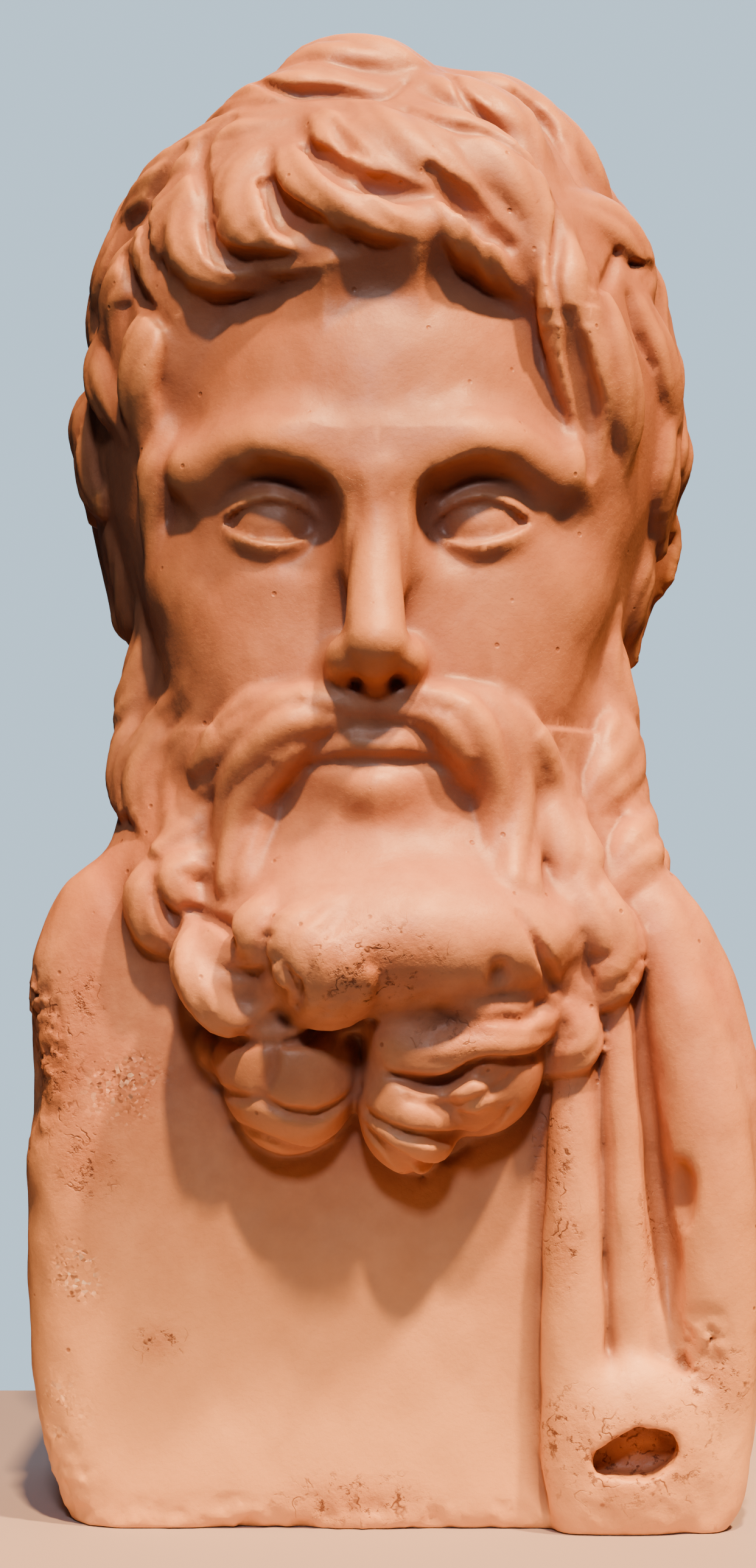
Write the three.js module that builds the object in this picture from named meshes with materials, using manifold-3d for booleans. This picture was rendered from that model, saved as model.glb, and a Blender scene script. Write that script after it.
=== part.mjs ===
// A marble herm: a bearded head on a squared bust, with a cloak over its left shoulder, carved from one
// block. Millimetres, +Z up, the front faces -Y. The origin is on the surface it stands on, under the
// middle of the bust. The stone is one distance field: forms are joined to it or cut from it, and its zero
// surface is the skin.

import * as THREE from "three";
import { mergeVertices } from "three/addons/utils/BufferGeometryUtils.js";
import Module from "manifold-3d";

// Driving sizes
const HEAD_HEIGHT = 150; // chin to bare crown; the features are shares of it
const CHIN_LEVEL = 121.5; // chin above the foot
const HAIR_RISE = 25; // hair mass above the bare crown, before its locks
const HEAD_SHIFT = -3.3; // head's middle, to the side of the bust's
const BUST_WIDTH = 146;
const BUST_DEPTH = 93;
const SHOULDER_LEVEL = 132; // top of the bust beside the neck
const CHEST_OFFSET = -42; // front face of the chest, from the origin
const EDGE_ROUND = 6; // worn rounding of the bust's edges
const CLOAK_THICKNESS = 5; // cloth over the bare block
const SOCKET_WIDTH = 15;
const SOCKET_HEIGHT = 10.5;
const SOCKET_DEPTH = 9;
const CELL = 2; // grid step of the field
const SKIN_TRIANGLES = 9700;

const MARBLE = { color: 0xe0ab88, roughness: 0.55, metalness: 0 };

// The head is drawn in parts of which the bare head is 50 tall: x to the right, y to the back, z up from
// the chin.
const HEAD_PARTS = 50;
const part = HEAD_HEIGHT / HEAD_PARTS;
const headPoint = (x, y, z) => new THREE.Vector3(HEAD_SHIFT + x * part, y * part, CHIN_LEVEL + z * part);
const CROWN = headPoint(-1, 4, 60);

const FAR = 60;
const halfWidth = BUST_WIDTH / 2;
const backOffset = CHEST_OFFSET + BUST_DEPTH;

// Distances and their smooth joining

const clamp = THREE.MathUtils.clamp;
const lerp = THREE.MathUtils.lerp;
const smoothstep = THREE.MathUtils.smoothstep;

// The smaller of two distances, rounded where they differ by less than r.
function softMin(a, b, r) {
  const share = Math.max(r - Math.abs(a - b), 0) / r;
  return Math.min(a, b) - (share * share * r) / 4;
}

const softMax = (a, b, r) => -softMin(-a, -b, r);

// A repeatable number from 0 to 1 for a whole number.
function chance(n) {
  const s = Math.sin(n * 12.9898 + 4.1414) * 43758.5453;
  return s - Math.floor(s);
}

// A grid of distances to the stone's surface, below zero inside it.
class Field {
  constructor(low, high, cell) {
    this.low = low;
    this.cell = cell;
    this.size = low.map((v, a) => Math.ceil((high[a] - v) / cell) + 1);
    this.values = new Float32Array(this.size[0] * this.size[1] * this.size[2]).fill(FAR);
  }

  copy() {
    return Object.assign(Object.create(Field.prototype), this, { values: this.values.slice() });
  }

  // Replaces each value in a box by change(value, x, y, z).
  edit(low, high, change) {
    const { size, cell, values } = this;
    const from = this.low.map((v, a) => clamp(Math.floor((low[a] - v) / cell), 0, size[a] - 1));
    const to = this.low.map((v, a) => clamp(Math.ceil((high[a] - v) / cell), 0, size[a] - 1));
    const [x0, y0, z0] = this.low;
    for (let k = from[2]; k <= to[2]; k++)
      for (let j = from[1]; j <= to[1]; j++)
        for (let i = from[0]; i <= to[0]; i++) {
          const at = i + size[0] * (j + size[1] * k);
          values[at] = change(values[at], x0 + i * cell, y0 + j * cell, z0 + k * cell);
        }
  }

  join(shape, blend) {
    this.around(shape, blend, (v, d) => softMin(v, d, blend));
  }

  cut(shape, blend) {
    this.around(shape, blend, (v, d) => softMax(v, -d, blend));
  }

  around(shape, blend, combine) {
    const reach = 2 * blend + 3 * this.cell + (shape.reach ?? 0);
    const low = shape.low.map((v) => v - reach);
    const high = shape.high.map((v) => v + reach);
    this.edit(low, high, (v, x, y, z) => combine(v, shape.distance(x, y, z)));
  }

  // The distance at a point, between the grid's values.
  at(p) {
    const g = [p.x, p.y, p.z].map((v, a) => clamp((v - this.low[a]) / this.cell, 0, this.size[a] - 1.001));
    const [i, j, k] = g.map(Math.floor);
    const [fx, fy, fz] = [g[0] - i, g[1] - j, g[2] - k];
    const value = (a, b, c) => this.values[i + a + this.size[0] * (j + b + this.size[1] * (k + c))];
    const row = (b, c) => lerp(value(0, b, c), value(1, b, c), fx);
    return lerp(lerp(row(0, 0), row(1, 0), fy), lerp(row(0, 1), row(1, 1), fy), fz);
  }

  // The outward direction at a point.
  normal(p) {
    const e = this.cell;
    const slope = (...step) => {
      const way = new THREE.Vector3(...step);
      return this.at(p.clone().add(way)) - this.at(p.clone().sub(way));
    };
    return new THREE.Vector3(slope(e, 0, 0), slope(0, e, 0), slope(0, 0, e)).normalize();
  }

  // The surface point near p.
  settle(p) {
    const q = p.clone();
    for (let step = 0; step < 6; step++) q.addScaledVector(this.normal(q), -this.at(q));
    return q;
  }
}

// Shapes: a box that holds them and a distance

function ball(centre, radii) {
  const [a, b, c] = radii;
  const distance = (x, y, z) => {
    const [u, v, w] = [x - centre.x, y - centre.y, z - centre.z];
    const k0 = Math.hypot(u / a, v / b, w / c);
    const k1 = Math.hypot(u / (a * a), v / (b * b), w / (c * c));
    return k1 > 0 ? (k0 * (k0 - 1)) / k1 : -Math.min(a, b, c);
  };
  const half = new THREE.Vector3(a, b, c);
  return { low: centre.clone().sub(half).toArray(), high: centre.clone().add(half).toArray(), distance };
}

const headBall = (x, y, z, rx, ry, rz) => ball(headPoint(x, y, z), [rx * part, ry * part, rz * part]);

// A roll of oval section along stations {at, side, out, wide, deep}, with round ends.
function roll(stations) {
  const reach = Math.max(...stations.map((s) => Math.max(s.wide, s.deep)));
  const box = new THREE.Box3().setFromPoints(stations.map((s) => s.at)).expandByScalar(reach);
  const spans = stations.slice(1).map((end, i) => {
    const start = stations[i];
    const along = end.at.clone().sub(start.at);
    return { start, end, along, length2: along.lengthSq() };
  });
  const distance = (x, y, z) => {
    let nearest = Infinity;
    let found = Infinity;
    for (const { start, end, along, length2 } of spans) {
      const u = x - start.at.x;
      const v = y - start.at.y;
      const w = z - start.at.z;
      const t = clamp((u * along.x + v * along.y + w * along.z) / length2, 0, 1);
      const ox = u - t * along.x;
      const oy = v - t * along.y;
      const oz = w - t * along.z;
      const gap2 = ox * ox + oy * oy + oz * oz;
      if (gap2 >= nearest) continue;
      nearest = gap2;
      const wide = lerp(start.wide, end.wide, t);
      const deep = lerp(start.deep, end.deep, t);
      const across = ox * start.side.x + oy * start.side.y + oz * start.side.z;
      const rise2 = Math.max(gap2 - across * across, 0);
      const k0 = Math.sqrt((across * across) / (wide * wide) + rise2 / (deep * deep));
      const k1 = Math.sqrt((across * across) / wide ** 4 + rise2 / deep ** 4);
      found = k1 > 0 ? (k0 * (k0 - 1)) / k1 : -Math.min(wide, deep);
    }
    return found;
  };
  return { low: box.min.toArray(), high: box.max.toArray(), distance };
}

// A roll through a few points, as a smooth curve, its radius running through the given values.
function tube(points, radii, flat = 1, steps = 14) {
  const curve = new THREE.CatmullRomCurve3(points);
  const radius = (t) => {
    const at = t * (radii.length - 1);
    const i = Math.min(Math.floor(at), radii.length - 2);
    return lerp(radii[i], radii[i + 1], at - i);
  };
  const stations = [];
  for (let i = 0; i <= steps; i++) {
    const at = curve.getPoint(i / steps);
    const along = curve.getTangent(i / steps);
    const side = new THREE.Vector3(0, -1, 0).cross(along).normalize();
    stations.push({ at, side, wide: radius(i / steps), deep: radius(i / steps) * flat });
  }
  return roll(stations);
}

function headTube(points, radii, flat) {
  return tube(points.map((p) => headPoint(...p)), radii.map((r) => r * part), flat);
}

// Both sides of the head

function bothSides(make) {
  return [make(-1), make(1)];
}

// The head: skull, face, ears, hair and beard masses

function buildSkull(field) {
  field.join(headBall(0, 2.5, 33.5, 16.4, 19.8, 17), 1);
  field.join(headBall(0, -5.2, 20, 14, 12.2, 19.5), 8 * part);
  field.join(headTube([[0, 4, 20], [0, 3, 6], [0, 2, -4]], [10, 10, 10]), 4 * part);
}

function buildFace(field) {
  // Brow, eye hollows, cheeks
  bothSides((s) => {
    const brow = [[s * 1.4, -17.3, 28], [s * 6, -17.2, 29.8], [s * 11.6, -13.6, 28.4]];
    field.join(headTube(brow, [1.6, 1.7, 1.6]), 3 * part);
  });
  bothSides((s) => field.cut(headBall(s * 6.9, -18.4, 25, 4.5, 3.3, 3.1), 2.2 * part));
  bothSides((s) => field.join(headBall(s * 9.2, -9.8, 20.6, 5.6, 5.2, 4.2), 4 * part));
  bothSides((s) => field.join(headBall(s * 6.6, -10.6, 14, 6.4, 6, 7), 4 * part));
  // Eyeballs, and lids as a thicker shell with an almond opening
  bothSides((s) => {
    const centre = headPoint(s * 6.65, -13.6, 24.8);
    const eyeball = headBall(s * 6.65, -13.6, 24.8, 3.1, 3.1, 3.1);
    const shell = headBall(s * 6.65, -13.6, 24.8, 3.75, 3.75, 3.6);
    const lids = (x, y, z) => {
      const u = (s * (x - centre.x)) / part;
      const w = (z - centre.z) / part - 0.06 * u;
      const arch = 1 - Math.min((u / 3.5) ** 2, 1.4);
      const opening = Math.max(w - 1.55 * arch, -1.25 * arch - w) * part;
      return softMax(shell.distance(x, y, z), -opening, 0.3 * part);
    };
    field.join(eyeball, 0.3 * part);
    field.join({ ...shell, distance: lids }, 0.5 * part);
  });
  // Nose
  const bridge = [[0, -16, 29], [0, -17.4, 25.6], [0, -19.9, 20], [0, -21.5, 16.9]];
  field.join(headTube(bridge, [1.9, 1.5, 1.75, 1.95]), 2.6 * part);
  bothSides((s) => field.join(headBall(s * 2, -19.1, 15.8, 1.3, 2.3, 1.5), 1.5 * part));
  field.join(headTube([[0, -21.2, 15.3], [0, -19.2, 14.4]], [1, 0.9]), 0.8 * part);
  bothSides((s) => field.cut(headBall(s * 1.3, -19.9, 14.1, 0.7, 1.2, 0.8), 0.5 * part));
  // Mouth and lips
  field.join(headBall(0, -15.8, 10.5, 6, 3.4, 5), 3 * part);
  const half = [[4.6, -17.2, 9.5], [1.8, -18.9, 10.5]];
  const bow = [...half.map(([x, y, z]) => [-x, y, z]), [0, -19.1, 10.2], ...half.reverse()];
  field.join(headTube(bow, [0.4, 0.8, 0.8, 0.8, 0.4]), 0.8 * part);
  field.join(headTube([[-3.8, -17.3, 8.8], [0, -18.9, 7.9], [3.8, -17.3, 8.8]], [0.5, 1.2, 0.5]), 0.8 * part);
  field.cut(headTube([[-5, -18.2, 9.1], [0, -20, 9.4], [5, -18.2, 9.1]], [0.35, 0.45, 0.35]), 0.5 * part);
}

function buildEars(field) {
  bothSides((s) => {
    // The right ear sits a little higher than the left.
    const rise = 3.5 - s;
    const at = ([out, y, z]) => [s * (16 + out), y, z + rise];
    field.join(headBall(s * 17, 1.8, 22.5 + rise, 1.6, 3.4, 6.8), 1.2 * part);
    const rim = [
      [0.4, -1.2, 23.5], [1.6, -0.8, 27.6], [2.8, 1.8, 29.4], [3.4, 4.6, 27.6], [2.9, 4.8, 23],
      [1.8, 3.2, 18.4], [1, 1.2, 15.8],
    ];
    field.join(headTube(rim.map(at), [0.8, 0.9, 1, 1.05, 1, 1.1, 1.4]), 0.6 * part);
    field.cut(headBall(s * 18.6, 1.4, 22.4 + rise, 1.3, 1.8, 3.2), 0.8 * part);
    field.join(headBall(s * 16.8, -1.6, 21.6 + rise, 0.9, 1, 1.5), 0.8 * part);
  });
}

function buildHairMass(field) {
  // The cap stops at the hairline: soft windows in front leave the face free.
  const cap = headBall(0.4, 2, 33.5, 20, 21.9, 17 + HAIR_RISE / part);
  const openings = [
    [-7.5, 27, 9, 17], [-6, 18, 11.5, 24], [0, 18, 11.5, 25.5], [6, 18, 11.5, 24], [6.5, 27, 9, 17],
  ];
  const windows = openings.map(([x, z, wide, tall]) => headBall(x, -24, z, wide, 19.5, tall));
  const window = (x, y, z) => Math.min(...windows.map((one) => one.distance(x, y, z)));
  const distance = (x, y, z) => softMax(cap.distance(x, y, z), -window(x, y, z), 3 * part);
  field.join({ ...cap, reach: 8 * part, distance }, 3 * part);
  field.join(headBall(-2, -1, 49, 8.2, 10, 9.4), 3 * part);
  field.join(headBall(-9.5, 2, 44, 8, 10, 8), 4 * part);
  // The hair behind the ears falls to the neck, fuller on the left.
  const curtain = [[0, 7, 28, 16, 13], [0.6, 5.5, 20, 12.4, 11.5], [1.2, 5, 8.5, 14.8, 9.5]];
  const side = new THREE.Vector3(1, 0, 0);
  const station = ([x, y, z, wide, deep]) => {
    return { at: headPoint(x, y, z), side, wide: wide * part, deep: deep * part };
  };
  field.join(roll(curtain.map(station)), 3 * part);
}

function buildBeardMass(field) {
  bothSides((s) => {
    const jaw = [[s * 13.2, -2.5, 22], [s * 13, -5.5, 12], [s * 12.2, -8, 3.5]];
    field.join(headTube(jaw, [2.2, 4, 4.8]), 3 * part);
  });
  field.join(headBall(0.4, -9.5, 0.5, 13, 11, 9), 4 * part);
  field.join(headBall(1.2, -15.6, -2, 12, 8.8, 5.8), 2.4 * part);
  field.join(headBall(-12.2, -11, 0.6, 3.8, 4.8, 5.2), 2 * part);
  field.join(headBall(12.6, -11.5, -1.6, 3.8, 5, 5.6), 2 * part);
  field.join(headBall(10.8, -13, -7, 2.8, 4.2, 3.6), 1.2 * part);
  // The snail curl on the left, and the lobe next to it
  field.join(headBall(-9.2, -15.2, -3.8, 3.6, 5, 4), 1.2 * part);
  field.join(headBall(-2.9, -18.6, -4.6, 3, 4.2, 3.2), 1.4 * part);
  // The two bundles that hang from the lower edge
  field.join(headBall(-5.5, -15, -9.8, 4.7, 5, 6.1), 0.8 * part);
  field.join(headBall(2.3, -16.2, -12.4, 3.5, 4.6, 4.8), 0.8 * part);
  field.join(headBall(6.2, -15.4, -9.4, 4.7, 5, 5.3), 0.8 * part);
  // The drilled curl over the right bundle, and the roll that it ends
  field.join(headBall(5.6, -16.8, -6.4, 4.8, 3.6, 2.6), 1.6 * part);
  field.join(headBall(2, -18, -8.4, 2.6, 3.2, 2.4), 1.4 * part);
}

// Locks are combed over the finished masses

// Follows the surface of a field from near a point. The way starts along `away`, turned by `heading`, and
// bends by `turn` in all, the more of it after `onset`. Angles are in degrees, anticlockwise seen from
// outside.
function comb(field, { start, away, heading, length, turn = 0, onset = 0, lift = [-0.5, 0.25] }) {
  const steps = 14;
  const radians = THREE.MathUtils.degToRad;
  let p = field.settle(start);
  let normal = field.normal(p);
  const along = away.clone().projectOnPlane(normal).normalize().applyAxisAngle(normal, radians(heading));
  const path = [];
  for (let i = 0; i <= steps; i++) {
    const t = i / steps;
    const side = normal.clone().cross(along).normalize();
    path.push({ t, at: p.clone().addScaledVector(normal, lerp(lift[0], lift[1], t) * part), side });
    along.applyAxisAngle(normal, t < onset ? 0 : radians(turn) / (steps * (1 - onset)));
    p = field.settle(p.clone().addScaledVector(along, (length * part) / steps));
    normal = field.normal(p);
    along.projectOnPlane(normal).normalize();
  }
  return path;
}

// Creases finer than the grid can hold are rounded off.
const LOCK_BLEND = Math.max(0.6 * part, CELL);

// A lock swells from its root and tapers to its tip.
function lock(path, width, depth = 1.4, tip = 0.4) {
  const swell = (t) => lerp(0.55, 1, smoothstep(t, 0, 0.35)) * lerp(1, tip, smoothstep(t, 0.55, 1));
  const station = ({ t, at, side }) => {
    const size = part * swell(t);
    return { at, side, wide: (width / 2) * size, deep: depth * size };
  };
  return roll(path.map(station));
}

// Rows of locks fan out from the crown, row below row, down to the nape.
function buildHairRows(field, masses) {
  const rows = [
    { tilt: 14, count: 8 },
    { tilt: 30, count: 15 },
    { tilt: 46, count: 19 },
    { tilt: 62, count: 22 },
    { tilt: 78, count: 23 },
    { tilt: 95, count: 22 },
    { tilt: 113, count: 19 },
    { tilt: 132, count: 15 },
  ];
  const centre = headPoint(0, 4, 32);
  rows.forEach(({ tilt, count }, row) => {
    for (let i = 0; i < count; i++) {
      const n = 31 * row + i;
      const round = (2 * Math.PI * (i + 0.5 * (row % 2) + 0.4 * (chance(n) - 0.5))) / count;
      const fall = THREE.MathUtils.degToRad(tilt + 5 * (chance(n + 500) - 0.5));
      const out = Math.sin(fall);
      const aim = new THREE.Vector3(out * Math.sin(round), -out * Math.cos(round), Math.cos(fall));
      const start = centre.clone().addScaledVector(aim, 25 * part);
      if (isFrontal(start)) continue;
      const swirl = chance(n + 900) > 0.4 ? 1 : -1;
      const path = comb(masses, {
        start,
        away: start.clone().sub(CROWN),
        heading: -swirl * (18 + 22 * chance(n + 300)),
        length: 9.5 + 3.5 * chance(n + 700),
        turn: swirl * (45 + 65 * chance(n + 100)),
        onset: 0.2,
      });
      field.join(lock(path, 5 + chance(n + 50)), LOCK_BLEND);
    }
  });
}

// True where the rows leave room for the fringe, the face and the ears.
function isFrontal(p) {
  const y = p.y / part;
  const z = (p.z - CHIN_LEVEL) / part;
  return y < 1 - 0.25 * (56 - z) || (y < 7 && z < 32);
}

const DOWN = new THREE.Vector3(0, 0, -1);

// Each place becomes half itself and half the mean of its neighbours, twice over; the ends stay.
function evened(places) {
  const once = (row) => row.map((p, i) => {
    if (i === 0 || i === row.length - 1) return p;
    return p.clone().multiplyScalar(2).add(row[i - 1]).add(row[i + 1]).divideScalar(4);
  });
  return once(once(places));
}

// Lays a curve on a field's surface, at a height that changes along it. It is drawn as seen from the front,
// through points [x, z] in head parts.
function drape(field, over, height) {
  const steps = 16;
  const curve = new THREE.CatmullRomCurve3(over.map(([x, z]) => headPoint(x, 0, z)));
  const places = [];
  for (let i = 0; i <= steps; i++) {
    const from = curve.getPoint(i / steps);
    let [best, least] = [from, Infinity];
    for (let y = -32; y < 8 && least >= 0; y += 0.5) {
      const p = new THREE.Vector3(from.x, y * part, from.z);
      const value = field.at(p);
      if (value < least) [best, least] = [p, value];
    }
    places.push(field.settle(best));
  }
  return evened(places).map((p, i, all) => {
    const normal = field.normal(p);
    const along = all[Math.min(i + 1, steps)].clone().sub(all[Math.max(i - 1, 0)]);
    const side = normal.clone().cross(along).normalize();
    const t = i / steps;
    return { t, at: p.clone().addScaledVector(normal, height(t) * part), side };
  });
}

// Single locks, laid on the masses' surface through drawn points, or combed from a start, in head parts.
// The ends of a drawn lock are a little sunk in.
function buildLocks(field, masses, locks) {
  const rise = (t) => Math.sin(Math.PI * t) - 0.7;
  for (const { over, start, width, depth, tip, ...bend } of locks) {
    const combed = () => comb(masses, { start: headPoint(...start), away: DOWN, ...bend });
    const path = over ? drape(masses, over, rise) : combed();
    field.join(lock(path, width, depth, tip), LOCK_BLEND);
  }
}

// Grooves are cut along the locks' skin, those that are wide enough for the grid to hold.
function buildGrooves(field) {
  const locks = field.copy();
  for (const { over, width, depth } of GROOVES) {
    if (width * part < 2 * CELL) continue;
    const path = drape(locks, over, () => 0);
    field.cut(lock(path, width, depth), 0.4 * part);
  }
}

// The hair in front: the tuft over the crown, the fringe, the temples
const HAIR = [
  { over: [[4.5, 56.5], [0.5, 57], [-4, 57], [-7.5, 55]], width: 4.8, depth: 1.4, tip: 0.6 },
  { over: [[0, 54.5], [-4, 55], [-7.5, 54], [-10.5, 53.5], [-14.5, 51.5]], width: 4, depth: 1.1, tip: 0.5 },
  {
    over: [[-4.5, 53], [-8.5, 51.5], [-12.5, 50], [-16.5, 48.5], [-18.5, 45]],
    width: 5.6, depth: 1.4, tip: 0.5,
  },
  { over: [[-14.5, 46], [-16.5, 43], [-17.5, 40], [-17, 35.5]], width: 4.6, depth: 1.1 },
  { over: [[-16.5, 45], [-19, 43], [-19, 39.5], [-19.5, 36.5]], width: 4, depth: 1.1 },
  { over: [[-7.5, 51.5], [-11, 48.5], [-14, 45], [-15, 42], [-13.5, 38.5]], width: 5.4, depth: 1.2 },
  {
    over: [[-7, 52], [-10.5, 48.5], [-12.5, 45.5], [-11.5, 42], [-8, 41.5], [-4, 41.5]],
    width: 3.8, depth: 1.2, tip: 0.5,
  },
  {
    over: [[-5.5, 52], [-8, 49.5], [-9, 46.5], [-7.5, 43.5], [-4.5, 42.5], [-1.5, 43]],
    width: 4.2, depth: 1.1, tip: 0.5,
  },
  { over: [[-6.5, 51], [-5, 47.5], [-2.5, 45.5], [1, 44], [4, 44]], width: 3.6, depth: 1.3 },
  { over: [[-5, 53], [-3, 51], [-2, 49], [1, 47], [4.5, 46]], width: 3.2, depth: 1.1, tip: 0.5 },
  { over: [[-1.5, 53.5], [0, 51], [2.5, 49], [5.5, 47], [8, 45.5]], width: 4.4, depth: 1.2 },
  { over: [[1, 54], [3.5, 51.5], [6.5, 49.5], [9, 47.5], [11, 44], [11, 40]], width: 5, depth: 1.3 },
  { over: [[3.5, 46], [5.5, 43.5], [8, 41.5], [10, 39.5]], width: 2.8, depth: 1.1, tip: 0.5 },
  { over: [[2, 56], [6, 54], [9.5, 52], [11.5, 47.5]], width: 4.8, depth: 1.2 },
  { over: [[4.5, 57.5], [8.5, 56], [12, 53.5], [14, 49.5]], width: 5, depth: 1.3 },
  { over: [[8, 56], [11.5, 54], [14.5, 51], [17, 47]], width: 5, depth: 1.3 },
  { over: [[12.5, 46.5], [16, 46], [18, 43.5], [17.5, 39.5]], width: 5, depth: 1.2, tip: 0.5 },
  { over: [[12, 46], [12, 42.5], [12.5, 38], [13.5, 34], [14, 30]], width: 4.2, depth: 1.2 },
  { over: [[13.5, 43], [14.5, 39], [15.5, 35], [16.5, 31], [16, 28]], width: 4.2, depth: 1.2 },
  {
    over: [[16.5, 42.5], [18.5, 39], [19.5, 35.5], [20, 32.5], [19, 29.5]],
    width: 4.4, depth: 1.2, tip: 0.5,
  },
  { over: [[-15, 40.5], [-15, 37.5], [-15.5, 34], [-15, 30.5]], width: 4, depth: 1.1, tip: 0.6 },
  { over: [[-17, 41], [-18.5, 38], [-18, 34.5], [-16.5, 31.5]], width: 3.8, depth: 1.1, tip: 0.6 },
  { over: [[-14, 32], [-14.5, 29], [-14.5, 26], [-15, 21.5]], width: 2.6, depth: 0.8, tip: 0.6 },
  { over: [[12.5, 39], [14, 36.5], [14.5, 33.5], [15, 30]], width: 2.8, depth: 0.9, tip: 0.6 },
];

// Long locks behind the jaw, and shorter ones down the cheek in front of the ear; the left side's are a
// little fuller.
const SIDE_LOCKS = [-1, 1].flatMap((s) => [
  { start: [s * 17.4, 6, 26], heading: s * 10, length: 15, turn: -s * 40, width: 4.8 },
  { start: [s * 16.8, 2, 16], heading: s * 4, length: 11 + 2 * s, turn: -s * 46, onset: 0.4, width: 5 },
  { start: [s * 16.6, 10, 18], heading: -s * 6, length: 15, turn: s * 40, width: 5 },
  { start: [s * 16, -2.4, 26], heading: -s * 4, length: 9, turn: s * 50, onset: 0.2, width: 3.6, depth: 1.1 },
  { start: [s * 15, -6, 20], heading: -s * 8, length: 10, turn: s * 70, onset: 0.2, width: 4, depth: 1.3 },
  { start: [s * 15.8, -2.4, 17], heading: s * 4, length: 11, turn: -s * 60, onset: 0.2, width: 4.4 },
  { start: [s * 15, -6, 13], heading: -s * 14, length: 8, turn: -s * 40, onset: 0.3, width: 4.6 },
  {
    start: [s * 12.4, -13, 10.5], heading: -s * 12, length: 8, turn: s * 60,
    onset: 0.3, width: 4.2, depth: 1.2,
  },
]);

// Moustache: on each side a broad lock parts under the nose and falls round the mouth, with a shorter one
// above it.
const MOUSTACHE = [-1, 1].flatMap((s) => [
  {
    over: [[s * 3.4, 13.8], [s * 7.4, 12.2], [s * 10.4, 8.8], [s * 11.8, 4.4]],
    width: 4.4, depth: 1.3, tip: 0.8,
  },
  {
    over: [[s * 0.9, 12.8], [s * 4.2, 12.6], [s * 7, 9.8], [s * 8.3, 6], [s * 9, 2]],
    width: 5, depth: 2.1, tip: 0.8,
  },
]);

// The beard: cheeks and jaw, the snail curl and the lock round it, the lobe and the roll under it
const BEARD = [
  { over: [[-12.5, 14.5], [-14.5, 11], [-15, 7], [-13, 4]], width: 4.2, depth: 1.1 },
  { over: [[-11, 13], [-12.5, 10], [-12.5, 6], [-11, 3]], width: 3.8, depth: 0.9 },
  { over: [[-14, 4], [-15, 1], [-14, -1.5], [-12.5, -2.5]], width: 3.2, depth: 1.1, tip: 0.6 },
  { over: [[-9, 2.5], [-11.5, 3], [-13, 2], [-12, 0.5], [-10.5, 0.5]], width: 2.6, depth: 0.9, tip: 0.6 },
  { over: [[15, 15], [16, 11.5], [15, 8], [14, 5]], width: 4.2, depth: 1.1 },
  { over: [[17, 11], [17.5, 6.5], [17, 3.5], [15, 1]], width: 4.2, depth: 1.2 },
  { over: [[8.5, 8.5], [11, 5.5], [13, 2.5], [12, -1.5]], width: 4.6, depth: 1.2 },
  { over: [[12, 4], [14, 0.5], [15.5, -3], [14, -5.5], [12, -4.5]], width: 4.4, depth: 1.4, tip: 0.6 },
  { over: [[-7, 1.5], [-7.5, -0.5], [-8, -2], [-8.5, -3]], width: 3, depth: 0.8, tip: 0.8 },
  {
    over: [[-12, -0.5], [-12, -2.5], [-11, -5], [-9.5, -6.5], [-7.5, -6.5], [-6, -4.5]],
    width: 3, depth: 1.4, tip: 0.7,
  },
  { over: [[-3, 0.5], [-4.5, -2], [-3.5, -4.5], [-4.5, -7]], width: 5.2, depth: 1.3, tip: 0.7 },
  { over: [[0, -1], [-2, -3], [-1.5, -5], [-2.5, -7]], width: 3.6, depth: 0.9, tip: 0.7 },
  {
    over: [[1, -9.5], [3.5, -9.5], [6, -8.5], [8.5, -8], [11, -7], [11, -4.5]],
    width: 3.2, depth: 1, tip: 0.8,
  },
  { over: [[4.5, -5.5], [6.5, -6.5], [8.5, -6.5], [10, -5.5]], width: 2.2, depth: 0.6, tip: 0.7 },
  { over: [[11.5, -5.5], [13, -7.5], [12.5, -9.5], [11, -10.5]], width: 3.2, depth: 1.2, tip: 0.7 },
  { over: [[4, -11.5], [6, -11.5], [7.5, -12.5]], width: 2.4, depth: 0.7, tip: 0.8 },
  { over: [[-10, -8], [-10.5, -9], [-10, -10]], width: 2.2, depth: 0.8, tip: 0.8 },
];

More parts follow.
